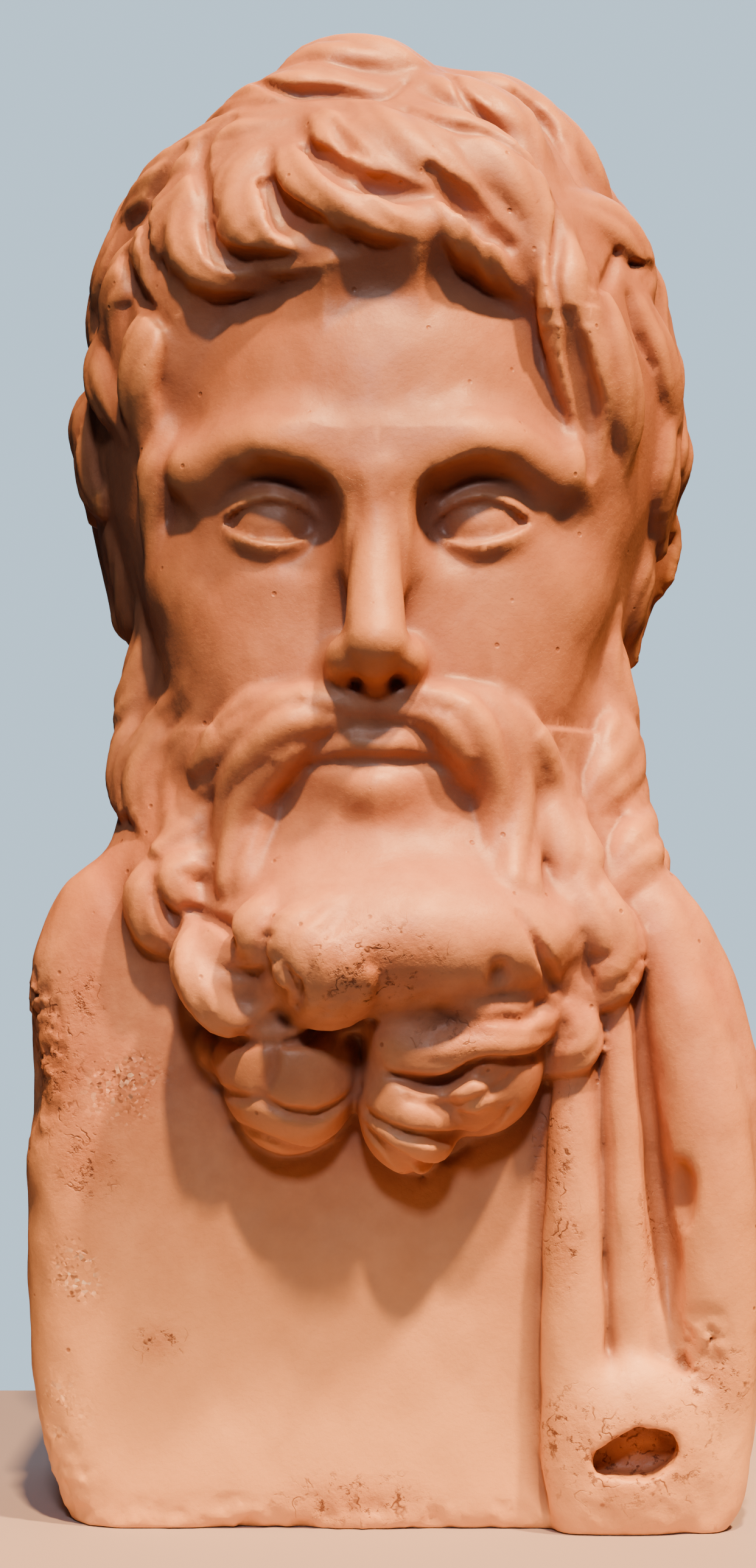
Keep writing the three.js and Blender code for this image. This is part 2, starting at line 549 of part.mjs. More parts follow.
// Cuts between and along the locks, drawn in the same way
const GROOVES = [
  { over: [[-8, 55.5], [-5.5, 54], [-2.5, 54], [0.5, 53.5], [2, 55]], width: 1.1, depth: 0.7 },
  { over: [[-4.5, 49.5], [-2, 47], [1, 46], [4, 46]], width: 2.2, depth: 0.9 },
  { over: [[-3, 51.5], [-2, 49.5], [-1, 48.5]], width: 1.2, depth: 0.6 },
  { over: [[3.5, 47.5], [5.5, 45.5], [7, 44], [8.5, 43]], width: 2.4, depth: 1.2 },
  { over: [[-7, 47], [-5.5, 44.5], [-4, 43], [-1.5, 42.5]], width: 2.9, depth: 0.8 },
  { over: [[-11, 44.5], [-10.5, 42.5], [-7.5, 42], [-3.5, 42]], width: 1.5, depth: 0.6 },
  { over: [[2, 52.5], [4.5, 51], [7.5, 50.5], [10.5, 48.5]], width: 1, depth: 0.6 },
  { over: [[5, 55.5], [6, 53.5], [7.5, 52], [9.5, 50]], width: 0.9, depth: 0.6 },
  { over: [[9.5, 55.5], [11.5, 53.5], [12.5, 51], [13.5, 48.5]], width: 1, depth: 0.6 },
  { over: [[11.5, 46.5], [12, 44], [11.5, 41], [12, 38.5]], width: 1.2, depth: 0.7 },
  { over: [[-9.5, 52.5], [-11.5, 51], [-11.5, 48], [-10.5, 45]], width: 1.4, depth: 0.6 },
  { over: [[-13, 51], [-14.5, 49], [-15.5, 45.5], [-14.5, 42]], width: 1.4, depth: 0.6 },
  { over: [[-17, 44], [-16, 41], [-14, 38.5]], width: 1.5, depth: 0.7 },
  { over: [[12.5, 38.5], [13, 36], [14, 32.5], [14, 28.5]], width: 2, depth: 0.9 },
  { over: [[17, 41], [17.5, 38.5], [18.5, 36.5]], width: 1, depth: 0.6 },
  { over: [[16, 44], [15.5, 42], [14.5, 40.5]], width: 1.1, depth: 0.5 },
  { over: [[-12, 0], [-10.5, -0.5], [-9.5, -1], [-9, -2], [-9, -2.5]], width: 0.9, depth: 0.7 },
  { over: [[-10, -3.5], [-9, -4], [-7.5, -4], [-6, -3]], width: 0.6, depth: 0.3 },
  { over: [[-5.5, -4], [-5, -5], [-5, -6]], width: 1.2, depth: 0.9 },
  { over: [[-5.5, -8.5], [-3.5, -8], [-1.5, -7.5], [-0.5, -7]], width: 1.5, depth: 1.3 },
  { over: [[1, -10.5], [2.5, -11], [4.5, -11], [6.5, -9.5], [10, -9.5]], width: 1.2, depth: 0.8 },
  { over: [[7, -7], [8.5, -7], [9.5, -7], [10.5, -6]], width: 0.7, depth: 0.4 },
  { over: [[9, -0.5], [10.5, -3], [11.5, -5], [12, -5.5]], width: 1, depth: 0.6 },
  { over: [[-7.5, -12], [-5, -13], [-3.5, -13], [-1, -11.5]], width: 1, depth: 0.6 },
  { over: [[-9.5, -14], [-7, -14.5], [-4.5, -15.5], [-2.5, -14.5]], width: 0.8, depth: 0.4 },
  { over: [[-10.5, -8], [-9, -8.5], [-6.5, -8.5]], width: 0.9, depth: 0.5 },
  { over: [[-6.5, -8.5], [-6.5, -10], [-7.5, -12]], width: 0.9, depth: 0.4 },
  { over: [[-10.5, -11.5], [-9, -12], [-7, -12]], width: 0.8, depth: 0.4 },
  { over: [[-0.5, -13], [1.5, -14], [4, -14.5], [6.5, -14.5], [8.5, -12.5]], width: 1, depth: 0.6 },
  { over: [[-0.5, -14], [1, -15.5], [4, -16.5], [6, -15.5]], width: 1, depth: 0.6 },
  { over: [[0.5, -15.5], [1.5, -16.5], [3, -17.5]], width: 0.8, depth: 0.5 },
  { over: [[2, -12], [4.5, -12.5], [6.5, -12], [8.5, -10.5]], width: 0.8, depth: 0.4 },
];

// Drilled eyes of the curls, in head parts
const DRILLED = [
  { at: [7.8, -24.6, -4.3], wide: 1.1, deep: 3.2, tall: 1.6 },
  { at: [1.6, -24, -7.8], wide: 0.8, deep: 2.4, tall: 0.8 },
];

function buildDrillings(field) {
  for (const { at, wide, deep, tall } of DRILLED) field.cut(headBall(...at, wide, deep, tall), 0.5 * part);
  // The cleft that parts the bundles
  const cleft = [[-1.5, -27, -5.6], [-0.9, -24.5, -9], [-0.5, -22, -13], [-0.5, -20, -18]];
  field.cut(headTube(cleft, [0.6, 0.7, 0.8, 1.3]), 1.2 * part);
}

// The bust: a squared block with worn edges and rounded shoulders

// Distance to the block's outline seen from the front: round shoulders and a worn, narrower foot
function outlineDistance(x, z) {
  const [width, height, wear] = x < 0 ? [0.25, 0.24, 0.11] : [0.42, 0.45, 0.06];
  const reach = halfWidth * (1 - 0.12 * Math.exp(-Math.max(z, 0) / (wear * SHOULDER_LEVEL)));
  const corner = width * halfWidth;
  const u = Math.abs(x) - reach + corner;
  const v = ((z - SHOULDER_LEVEL) / (height * SHOULDER_LEVEL) + 1) * corner;
  return Math.hypot(Math.max(u, 0), Math.max(v, 0)) + Math.min(Math.max(u, v), 0) - corner;
}

function buildBust(field) {
  const distance = (x, y, z) => {
    const front = CHEST_OFFSET + 2.5 * (x / halfWidth) ** 2 - y;
    const back = y - backOffset;
    return softMax(outlineDistance(x, z + 0.06 * Math.max(y, 0)), Math.max(front, back), 2 * EDGE_ROUND);
  };
  const low = [-halfWidth, CHEST_OFFSET, -3 * CELL];
  const high = [halfWidth, backOffset, SHOULDER_LEVEL + 4];
  field.join({ low, high, distance }, 9);
  // The shoulders rise to the neck.
  const neckBase = new THREE.Vector3(HEAD_SHIFT, 6, SHOULDER_LEVEL - 8);
  field.join(ball(neckBase, [0.62 * halfWidth, 0.36 * BUST_DEPTH, 17]), 12);
}

// Old breaks along the bust's edges
function buildChips(field) {
  const chips = [
    { at: [-1.06, -0.4, 0.67], size: [7, 16, 13] },
    { at: [-1.05, -0.5, 0.47], size: [6, 12, 9] },
    { at: [-0.98, -0.5, 0.02], size: [9, 9, 7] },
    { at: [-0.35, -0.53, -0.02], size: [16, 7, 4.5] },
    { at: [0.2, -0.54, -0.02], size: [22, 7, 4] },
    { at: [0.9, 0.5, 0.98], size: [14, 12, 7] },
    { at: [-0.5, 0.54, -0.02], size: [18, 8, 6] },
  ];
  for (const { at: [x, y, z], size } of chips)
    field.cut(ball(new THREE.Vector3(x * halfWidth, y * BUST_DEPTH + 4.5, z * SHOULDER_LEVEL), size), 3);
}

// The cloak: a slab over the left shoulder, three falling folds on it and a deep valley between the outer
// two.
function buildCloak(field) {
  const w = halfWidth;
  const front = CHEST_OFFSET;
  const top = SHOULDER_LEVEL;
  const slab = (x, y, z) => {
    const inner = w * lerp(0.46, 0.6, smoothstep(z, 0.6 * top, top)) - x;
    const face = front - 0.2 * CLOAK_THICKNESS - y;
    const sides = softMax(outlineDistance(x, z) - 0.8, inner, 3);
    return softMax(sides, Math.max(face, y - backOffset - 1), 2 * EDGE_ROUND);
  };
  const low = [0.3 * w, front - CLOAK_THICKNESS, -3 * CELL];
  field.join({ low, high: [w, backOffset, top], distance: slab }, 2);
  const fold = (stations, flat = 0.8) => {
    const place = ([x, y, z]) => new THREE.Vector3(x * w, front + y * CLOAK_THICKNESS, z * top);
    const points = stations.map(place);
    return tube(points, stations.map((station) => station[3]), flat, 20);
  };
  const border = [
    [0.6, 7, 1.01, 3.4], [0.55, 1.2, 0.93, 3.6], [0.49, 0, 0.78, 3.8], [0.486, -0.3, 0.64, 4.8],
    [0.482, -0.4, 0.45, 5.8], [0.48, -0.4, 0.26, 6.3], [0.5, -0.1, 0.02, 6.2],
  ];
  const middle = [
    [0.66, 7, 1.01, 3], [0.57, 1, 0.93, 3], [0.598, -0.1, 0.82, 3], [0.606, -0.3, 0.64, 3.7],
    [0.622, -0.3, 0.46, 4.2], [0.64, 0, 0.25, 3.6],
  ];
  const outer = [
    [0.72, 7, 1, 5], [0.68, 1.4, 0.94, 5.4], [0.765, 0.4, 0.8, 7], [0.84, 0.1, 0.6, 8.6],
    [0.868, 0, 0.4, 8], [0.865, 0.3, 0.2, 8.2], [0.84, 0.5, -0.04, 8],
  ];
  const valley = [
    [0.575, 0.6, 0.95, 1.8], [0.645, -0.4, 0.82, 1.9], [0.683, -0.4, 0.64, 2.3], [0.71, -0.4, 0.52, 3],
    [0.731, -0.4, 0.41, 2.8], [0.742, -0.8, 0.29, 1.7],
  ];
  const groove = [
    [0.525, -0.9, 0.78, 1.2], [0.551, -1, 0.64, 1.5], [0.566, -1, 0.5, 1.5], [0.578, -1, 0.37, 1.1],
  ];
  field.join(fold(border), 1.6);
  field.join(fold(middle), 1.2);
  field.join(fold(outer), 1.6);
  field.cut(fold(valley, 2.1), 1.4);
  field.cut(fold(groove, 1.6), 1.6);
  // A chip out of the outer fold's edge
  field.cut(ball(new THREE.Vector3(0.765 * w, front - 4, 0.5 * top), [3, 5, 7]), 2);
}

// The worn lower end of the cloak, with the socket that opens in it.
function buildSocket(field) {
  const trim = (v, x, y, z) => softMax(v, outlineDistance(x, z) - 1.5, 6);
  field.edit([0, -2 * BUST_DEPTH, -FAR], [2 * BUST_WIDTH, 2 * BUST_DEPTH, 0.3 * SHOULDER_LEVEL], trim);
  const centre = new THREE.Vector3(0.64 * halfWidth, CHEST_OFFSET - 2, 0.12 * SHOULDER_LEVEL);
  field.join(ball(centre, [17.5, 7.5, 18]), 4);
  const face = CHEST_OFFSET - 9;
  const distance = (x, y, z) => {
    const [u, v] = [(x - centre.x) / (SOCKET_WIDTH / 2), (z - centre.z) / (SOCKET_HEIGHT / 2)];
    const skew = u - 0.35 * v;
    const outline = (Math.hypot(skew, Math.max(v, -0.9)) - 1) * (SOCKET_HEIGHT / 2);
    const flatBelow = softMax(outline, -(v + 0.8) * (SOCKET_HEIGHT / 2), 1);
    return softMax(flatBelow, Math.abs(y - face) - SOCKET_DEPTH, 1.5);
  };
  const low = [centre.x - SOCKET_WIDTH, face - SOCKET_DEPTH, centre.z - SOCKET_HEIGHT];
  const high = [centre.x + SOCKET_WIDTH, face + SOCKET_DEPTH, centre.z + SOCKET_HEIGHT];
  field.cut({ low, high, distance }, 1.5);
}

// The skin: marching tetrahedra over the field, then thinned

const CORNERS = [[0, 0, 0], [1, 0, 0], [1, 1, 0], [0, 1, 0], [0, 0, 1], [1, 0, 1], [1, 1, 1], [0, 1, 1]];
const SIDES_OF_SEVENTH = [[0, 1, 2], [0, 2, 3], [0, 3, 7], [0, 7, 4], [0, 4, 5], [0, 5, 1]];
const TETRAHEDRA = SIDES_OF_SEVENTH.map((corners) => [...corners, 6]);

function skinOf({ values, size, low, cell }) {
  const points = [];
  const triangles = [];
  const known = new Map();
  const place = (n) => {
    const i = n % size[0];
    const j = Math.floor(n / size[0]) % size[1];
    const k = Math.floor(n / (size[0] * size[1]));
    return [low[0] + i * cell, low[1] + j * cell, low[2] + k * cell];
  };
  const crossing = (a, b) => {
    const key = Math.min(a, b) * values.length + Math.max(a, b);
    if (!known.has(key)) {
      const t = clamp(values[a] / (values[a] - values[b]), 0.04, 0.96);
      const [p, q] = [place(a), place(b)];
      known.set(key, points.length / 3);
      points.push(...p.map((v, axis) => lerp(v, q[axis], t)));
    }
    return known.get(key);
  };
  const middle = (nodes, axis) => nodes.reduce((sum, n) => sum + place(n)[axis], 0) / nodes.length;
  const face = (a, b, c, inside, outside) => {
    const at = (n, axis) => points[3 * n + axis];
    const edge = (n) => new THREE.Vector3(...[0, 1, 2].map((axis) => at(n, axis) - at(a, axis)));
    const [u, v] = [edge(b), edge(c)];
    const way = new THREE.Vector3(...[0, 1, 2].map((axis) => middle(outside, axis) - middle(inside, axis)));
    triangles.push(...(u.cross(v).dot(way) > 0 ? [a, b, c] : [a, c, b]));
  };
  for (let k = 0; k < size[2] - 1; k++)
    for (let j = 0; j < size[1] - 1; j++)
      for (let i = 0; i < size[0] - 1; i++) {
        const nodes = CORNERS.map(([a, b, c]) => i + a + size[0] * (j + b + size[1] * (k + c)));
        const below = nodes.filter((n) => values[n] < 0).length;
        if (below === 0 || below === 8) continue;
        for (const corners of TETRAHEDRA) {
          const inside = corners.map((c) => nodes[c]).filter((n) => values[n] < 0);
          const outside = corners.map((c) => nodes[c]).filter((n) => values[n] >= 0);
          if (!inside.length || !outside.length) continue;
          const ring = inside.length === 2
            ? [[0, 0], [0, 1], [1, 1], [1, 0]].map(([a, b]) => crossing(inside[a], outside[b]))
            : inside.flatMap((a) => outside.map((b) => crossing(a, b)));
          face(ring[0], ring[1], ring[2], inside, outside);
          if (ring.length === 4) face(ring[0], ring[2], ring[3], inside, outside);
        }
      }
  return { points, triangles };
}

// A queue that gives back the item of least cost.
class Queue {
  items = [];

  push(item) {
    const { items } = this;
    let n = items.length;
    items.push(item);
    while (n > 0) {
      const up = (n - 1) >> 1;
      if (items[up].cost <= item.cost) break;
      items[n] = items[up];
      n = up;
    }
    items[n] = item;
  }

  pop() {
    const { items } = this;
    const [least] = items;
    const item = items.pop();
    let n = 0;
    while (items.length) {
      let down = 2 * n + 1;
      if (down >= items.length) break;
      if (down + 1 < items.length && items[down + 1].cost < items[down].cost) down++;
      if (items[down].cost >= item.cost) break;
      items[n] = items[down];
      n = down;
    }
    if (items.length) items[n] = item;
    return least;
  }
}

// Draws the edges of a closed mesh together, the least noticeable first, until `target` triangles are left.
// Each vertex carries the squared distances to the planes it stands for, as the ten terms of a quadric;
// an edge costs what the sum of its ends' quadrics comes to at the point where that is least.
function thinned({ points, triangles }, target) {
  const at = Float64Array.from(points);
  const face = Int32Array.from(triangles);
  const count = at.length / 3;
  const around = Array.from({ length: count }, () => []);
  const quadric = new Float64Array(10 * count);
  const stamp = new Int32Array(count);
  const seen = new Int32Array(count);
  let tick = 0;

  // The normal of corners a, b, c as long as twice their triangle's area, with corner `moved` taken to be
  // at (x, y, z).
  const normal = (a, b, c, moved = -1, x = 0, y = 0, z = 0) => {
    const get = (v, axis, value) => (v === moved ? value : at[3 * v + axis]);
    const [ax, ay, az] = [get(a, 0, x), get(a, 1, y), get(a, 2, z)];
    const [ux, uy, uz] = [get(b, 0, x) - ax, get(b, 1, y) - ay, get(b, 2, z) - az];
    const [vx, vy, vz] = [get(c, 0, x) - ax, get(c, 1, y) - ay, get(c, 2, z) - az];
    return [uy * vz - uz * vy, uz * vx - ux * vz, ux * vy - uy * vx];
  };
  for (let f = 0; f < face.length / 3; f++) {
    const [a, b, c] = [face[3 * f], face[3 * f + 1], face[3 * f + 2]];
    const n = normal(a, b, c);
    const area = Math.hypot(...n) || 1e-12;
    const [x, y, z] = [n[0] / area, n[1] / area, n[2] / area];
    const d = -(x * at[3 * a] + y * at[3 * a + 1] + z * at[3 * a + 2]);
    const terms = [x * x, x * y, x * z, x * d, y * y, y * z, y * d, z * z, z * d, d * d];
    for (const v of [a, b, c]) {
      around[v].push(f);
      for (let i = 0; i < 10; i++) quadric[10 * v + i] += terms[i] * area;
    }
  }

  const q = new Float64Array(10);
  const plan = (a, b) => {
    for (let i = 0; i < 10; i++) q[i] = quadric[10 * a + i] + quadric[10 * b + i];
    const [xx, xy, xz, xd, yy, yz, yd, zz, zd, dd] = q;
    const [ax, ay, az] = [at[3 * a], at[3 * a + 1], at[3 * a + 2]];
    const [bx, by, bz] = [at[3 * b], at[3 * b + 1], at[3 * b + 2]];
    const span2 = (ax - bx) ** 2 + (ay - by) ** 2 + (az - bz) ** 2;
    const size = xx + yy + zz;
    let [x, y, z] = [(ax + bx) / 2, (ay + by) / 2, (az + bz) / 2];
    const [m0, m1, m2] = [yy * zz - yz * yz, xz * yz - xy * zz, xy * yz - xz * yy];
    const determinant = xx * m0 + xy * m1 + xz * m2;
    if (Math.abs(determinant) > 1e-4 * size ** 3) {
      const u = -(m0 * xd + m1 * yd + m2 * zd) / determinant;
      const v = -(m1 * xd + (xx * zz - xz * xz) * yd + (xy * xz - xx * yz) * zd) / determinant;
      const w = -(m2 * xd + (xy * xz - xx * yz) * yd + (xx * yy - xy * xy) * zd) / determinant;
      if ((u - x) ** 2 + (v - y) ** 2 + (w - z) ** 2 < span2) [x, y, z] = [u, v, w];
    }
    const squares = xx * x * x + yy * y * y + zz * z * z + dd;
    const error = squares + 2 * (xy * x * y + xz * x * z + yz * y * z + xd * x + yd * y + zd * z);
    return { a, b, x, y, z, cost: error + 2e-4 * size * span2, stamps: stamp[a] + stamp[b] };
  };
  const neighbours = (a) => {
    const found = [];
    seen[a] = ++tick;
    for (const f of around[a])
      for (let c = 3 * f; c < 3 * f + 3; c++)
        if (seen[face[c]] !== tick) {
          seen[face[c]] = tick;
          found.push(face[c]);
        }
    return found;
  };
  const turnsOver = (a, b, x, y, z) => {
    for (const f of around[a]) {
      const [i, j, k] = [face[3 * f], face[3 * f + 1], face[3 * f + 2]];
      if (i === b || j === b || k === b) continue;
      const before = normal(i, j, k);
      const after = normal(i, j, k, a, x, y, z);
      const dot = before[0] * after[0] + before[1] * after[1] + before[2] * after[2];
      if (dot < 0.25 * Math.hypot(...before) * Math.hypot(...after)) return true;
    }
    return false;
  };

  const queue = new Queue();
  for (let a = 0; a < count; a++) for (const b of neighbours(a)) if (a < b) queue.push(plan(a, b));
  let left = face.length / 3;
  while (left > target && queue.items.length) {
    const { a, b, x, y, z, stamps } = queue.pop();
    if (!around[a].length || !around[b].length || stamps !== stamp[a] + stamp[b]) continue;
    const near = neighbours(b);
    neighbours(a);
    const shared = near.filter((c) => c !== a && seen[c] === tick).length;
    if (shared !== 2 || turnsOver(a, b, x, y, z) || turnsOver(b, a, x, y, z)) continue;
    for (const f of around[b]) {
      const corners = [face[3 * f], face[3 * f + 1], face[3 * f + 2]];
      if (corners.includes(a)) {
        for (const c of corners) if (c !== b) around[c].splice(around[c].indexOf(f), 1);
        left--;
      } else {
        face[3 * f + corners.indexOf(b)] = a;
        around[a].push(f);
      }
    }
    around[b] = [];
    [at[3 * a], at[3 * a + 1], at[3 * a + 2]] = [x, y, z];
    for (let i = 0; i < 10; i++) quadric[10 * a + i] += quadric[10 * b + i];
    stamp[a] += stamp[b] + 1;
    for (const c of neighbours(a)) queue.push(plan(a, c));
  }

  const kept = new Map();
  const index = [];
  for (let a = 0; a < count; a++) if (around[a].length) kept.set(a, kept.size);
  for (let f = 0; f < face.length / 3; f++) {
    if (!around[face[3 * f]].includes(f)) continue;
    for (let c = 3 * f; c < 3 * f + 3; c++) index.push(kept.get(face[c]));
  }
  const position = [...kept.keys()].flatMap((a) => [at[3 * a], at[3 * a + 1], at[3 * a + 2]]);
  return new THREE.BufferGeometry()
    .setAttribute("position", new THREE.Float32BufferAttribute(position, 3))
    .setIndex(index);
}

// The largest body of a closed geometry, sawn off flat at the foot.
async function sawnFlat(geometry) {
  const wasm = await Module();
  wasm.setup();
  const { Manifold, Mesh } = wasm;
  const solid = (g) => new Manifold(new Mesh({
    numProp: 3,
    vertProperties: new Float32Array(g.getAttribute("position").array),
    triVerts: new Uint32Array(g.index.array),
  }));
  const across = 3 * BUST_WIDTH;
  const saw = new THREE.BoxGeometry(across, across, BUST_WIDTH).translate(0, 0, -BUST_WIDTH / 2);
  saw.deleteAttribute("normal");
  saw.deleteAttribute("uv");
  const stone = solid(geometry).subtract(solid(mergeVertices(saw)));
  const [body] = stone.decompose().sort((a, b) => b.volume() - a.volume());
  const { vertProperties, triVerts } = body.getMesh();
  return new THREE.BufferGeometry()
    .setAttribute("position", new THREE.BufferAttribute(vertProperties, 3))
    .setIndex(new THREE.BufferAttribute(triVerts, 1));
}

function buildField() {
  const side = Math.max(halfWidth + 10, 27 * part);
  const top = CHIN_LEVEL + HEAD_HEIGHT + HAIR_RISE + 5 * part;
  const field = new Field([-side, -32 * part, -3 * CELL], [side, 29 * part, top], CELL);
  buildBust(field);
  buildChips(field);
  buildCloak(field);
  buildSocket(field);
  buildSkull(field);
  buildFace(field);
  buildEars(field);
  buildHairMass(field);
  buildBeardMass(field);
  const masses = field.copy();
  buildHairRows(field, masses);
  for (const locks of [HAIR, SIDE_LOCKS, MOUSTACHE, BEARD]) buildLocks(field, masses, locks);
  buildGrooves(field);
  buildDrillings(field);
  // The stone ends just below the foot, so that its skin is closed; the saw takes that end off.
  field.edit([-FAR * 2, -FAR * 2, -FAR], [FAR * 2, FAR * 2, 0], (v, x, y, z) => Math.max(v, -1.5 * CELL - z));
  return field;
}

async function buildHerm() {
  const geometry = await sawnFlat(thinned(skinOf(buildField()), SKIN_TRIANGLES));
  geometry.computeVertexNormals();
  const herm = new THREE.Mesh(geometry, new THREE.MeshStandardMaterial(MARBLE));
  herm.name = "herm";
  return herm;
}

const root = new THREE.Group();
root.add(await buildHerm());
export default root;
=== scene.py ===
"""A marble herm: a bearded head on a squared bust, with a cloak over its left shoulder, in one block.

The stone is one distance field, worked out on a grid in millimetres: forms are joined to it or cut from it,
and its zero surface is the skin. +Z is up, the front faces -Y, and the origin is under the bust, on the
surface that it stands on.
"""
import math
from functools import partial

import bpy
import numpy as np
from mathutils import Matrix


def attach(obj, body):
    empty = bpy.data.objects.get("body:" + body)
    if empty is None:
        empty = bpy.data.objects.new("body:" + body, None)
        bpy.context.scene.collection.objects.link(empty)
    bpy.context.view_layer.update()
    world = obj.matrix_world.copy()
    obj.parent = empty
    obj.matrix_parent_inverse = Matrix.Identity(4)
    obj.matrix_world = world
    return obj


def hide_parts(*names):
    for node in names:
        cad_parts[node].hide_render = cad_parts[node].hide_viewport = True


# Driving sizes in millimetres, the same as the solid's
HEAD_HEIGHT = 150
CHIN_LEVEL = 121.5
HAIR_RISE = 25
HEAD_SHIFT = -3.3
BUST_WIDTH = 146
BUST_DEPTH = 93
SHOULDER_LEVEL = 132
CHEST_OFFSET = -42
EDGE_ROUND = 6
CLOAK_THICKNESS = 5
SOCKET_WIDTH = 15
SOCKET_HEIGHT = 10.5
SOCKET_DEPTH = 9

CELL = 0.8  # grid step of the field
SKIN_FACES = 190000
FAR = 60  # the distance that empty grid points start with
NEAR = 5  # past this distance a lock isn't worked out
LOCK_TIP = 0.4  # of a combed lock or a groove, as a share of its width and depth
FURROW = 0.15  # depth of the furrows between strands, as a share of a lock's depth
HEAD_PARTS = 50
PART = HEAD_HEIGHT / HEAD_PARTS
HALF_WIDTH = BUST_WIDTH / 2
BACK_OFFSET = CHEST_OFFSET + BUST_DEPTH
MM = 0.001
BOTH_SIDES = (-1, 1)


def head_point(x, y, z):
    """The head is drawn in parts of which the bare head is 50 tall: x right, y back, z up from the chin."""
    return np.array([HEAD_SHIFT + x * PART, y * PART, CHIN_LEVEL + z * PART])


CROWN = head_point(-1, 4, 60)  # the locks at the back fan out from here


def smoothstep(v, low, high):
    t = np.clip((v - low) / (high - low), 0, 1)
    return t * t * (3 - 2 * t)


def lerp(a, b, t):
    return a + (b - a) * t


def soft_min(a, b, r):
    """The smaller of two distances, rounded where they differ by less than r."""
    share = np.maximum(r - np.abs(a - b), 0) / r
    return np.minimum(a, b) - share * share * r / 4


def soft_max(a, b, r):
    return -soft_min(-a, -b, r)


def chance(n):
    """A repeatable number from 0 to 1 for a whole number."""
    s = math.sin(n * 12.9898 + 4.1414) * 43758.5453
    return s - math.floor(s)


class Field:
    """Distances to the stone's surface on a grid, below zero inside it."""

    def __init__(self, low, high, cell):
        self.low = np.array(low, float)
        self.cell = cell
        self.size = np.ceil((np.array(high) - self.low) / cell).astype(int) + 1
        self.values = np.full(self.size, FAR, np.float32)

    def copy(self):
        other = Field(self.low, self.low, self.cell)
        other.size = self.size
        other.values = self.values.copy()
        return other

    def window(self, low, high):
        """The slices of a box, and its grid lines as three arrays that broadcast over it."""
        low, high = ((np.array(corner) - self.low) / self.cell for corner in (low, high))
        first = np.clip(np.floor(low), 0, self.size - 1).astype(int)
        last = np.clip(np.ceil(high), 0, self.size - 1).astype(int) + 1
        lines = []
        for axis in range(3):
            shape = [1, 1, 1]
            shape[axis] = -1
            line = self.low[axis] + self.cell * np.arange(first[axis], last[axis])
            lines.append(line.astype(np.float32).reshape(shape))
        return tuple(slice(a, b) for a, b in zip(first, last)), lines

    def edit(self, low, high, change):
        """Replaces the values in a box by change(values, x, y, z)."""
        box, lines = self.window(low, high)
        if self.values[box].size:
            self.values[box] = change(self.values[box], *lines)

    def join(self, shape, blend):
        self._around(shape, blend, lambda v, d: soft_min(v, d, blend))

    def cut(self, shape, blend):
        self._around(shape, blend, lambda v, d: soft_max(v, -d, blend))

    def _around(self, shape, blend, combine):
        low, high, distance = shape
        reach = 2 * blend + 3 * self.cell
        change = lambda v, x, y, z: combine(v, distance(x, y, z))
        self.edit(np.array(low) - reach, np.array(high) + reach, change)

    def at(self, points):
        """The distances at points (n, 3), between the grid's values."""
        g = np.clip((points - self.low) / self.cell, 0, self.size - 1.001)
        i = g.astype(int)
        f = g - i
        total = 0
        for corner in np.ndindex(2, 2, 2):
            weight = np.prod(np.where(corner, f, 1 - f), axis=1)
            total = total + weight * self.values[tuple((i + corner).T)]
        return total

    def normal(self, points, reach=2.5):
        """The outward directions at points, from differences over `reach` millimetres each way."""
        slope = [self.at(points + step) - self.at(points - step) for step in reach * np.eye(3)]
        return unit(np.stack(slope, axis=1))

    def settle(self, points):
        """The surface points near points."""
        for _ in range(6):
            points = points - self.normal(points) * self.at(points)[:, None]
        return points


def unit(v):
    return v / np.maximum(np.linalg.norm(v, axis=-1, keepdims=True), 1e-9)


def turned(v, axis, degrees):
    """Vectors v turned about unit axes by angles in degrees, anticlockwise seen from the axes' tips."""
    angle = np.radians(degrees)[:, None]
    along = np.sum(v * axis, axis=1, keepdims=True) * axis
    return along + (v - along) * np.cos(angle) + np.cross(axis, v) * np.sin(angle)


def in_plane(v, normal):
    return unit(v - np.sum(v * normal, axis=1, keepdims=True) * normal)


# Shapes: the low and high corners of a box that holds them, and a distance


def ball(centre, radii):
    """An ellipsoid. Its distance is that of the scaled sphere, over the length of its gradient."""
    centre = np.array(centre, float)
    radii = np.array(radii, float)

    def distance(x, y, z):
        parts = [(line - c) ** 2 for line, c in zip((x, y, z), centre)]
        k0 = np.sqrt(sum(p / r**2 for p, r in zip(parts, radii)))
        k1 = np.sqrt(sum(p / r**4 for p, r in zip(parts, radii)))
        return k0 * (k0 - 1) / np.maximum(k1, 1e-6)

    return centre - radii, centre + radii, distance


def head_ball(x, y, z, rx, ry, rz):
    return ball(head_point(x, y, z), np.array([rx, ry, rz]) * PART)


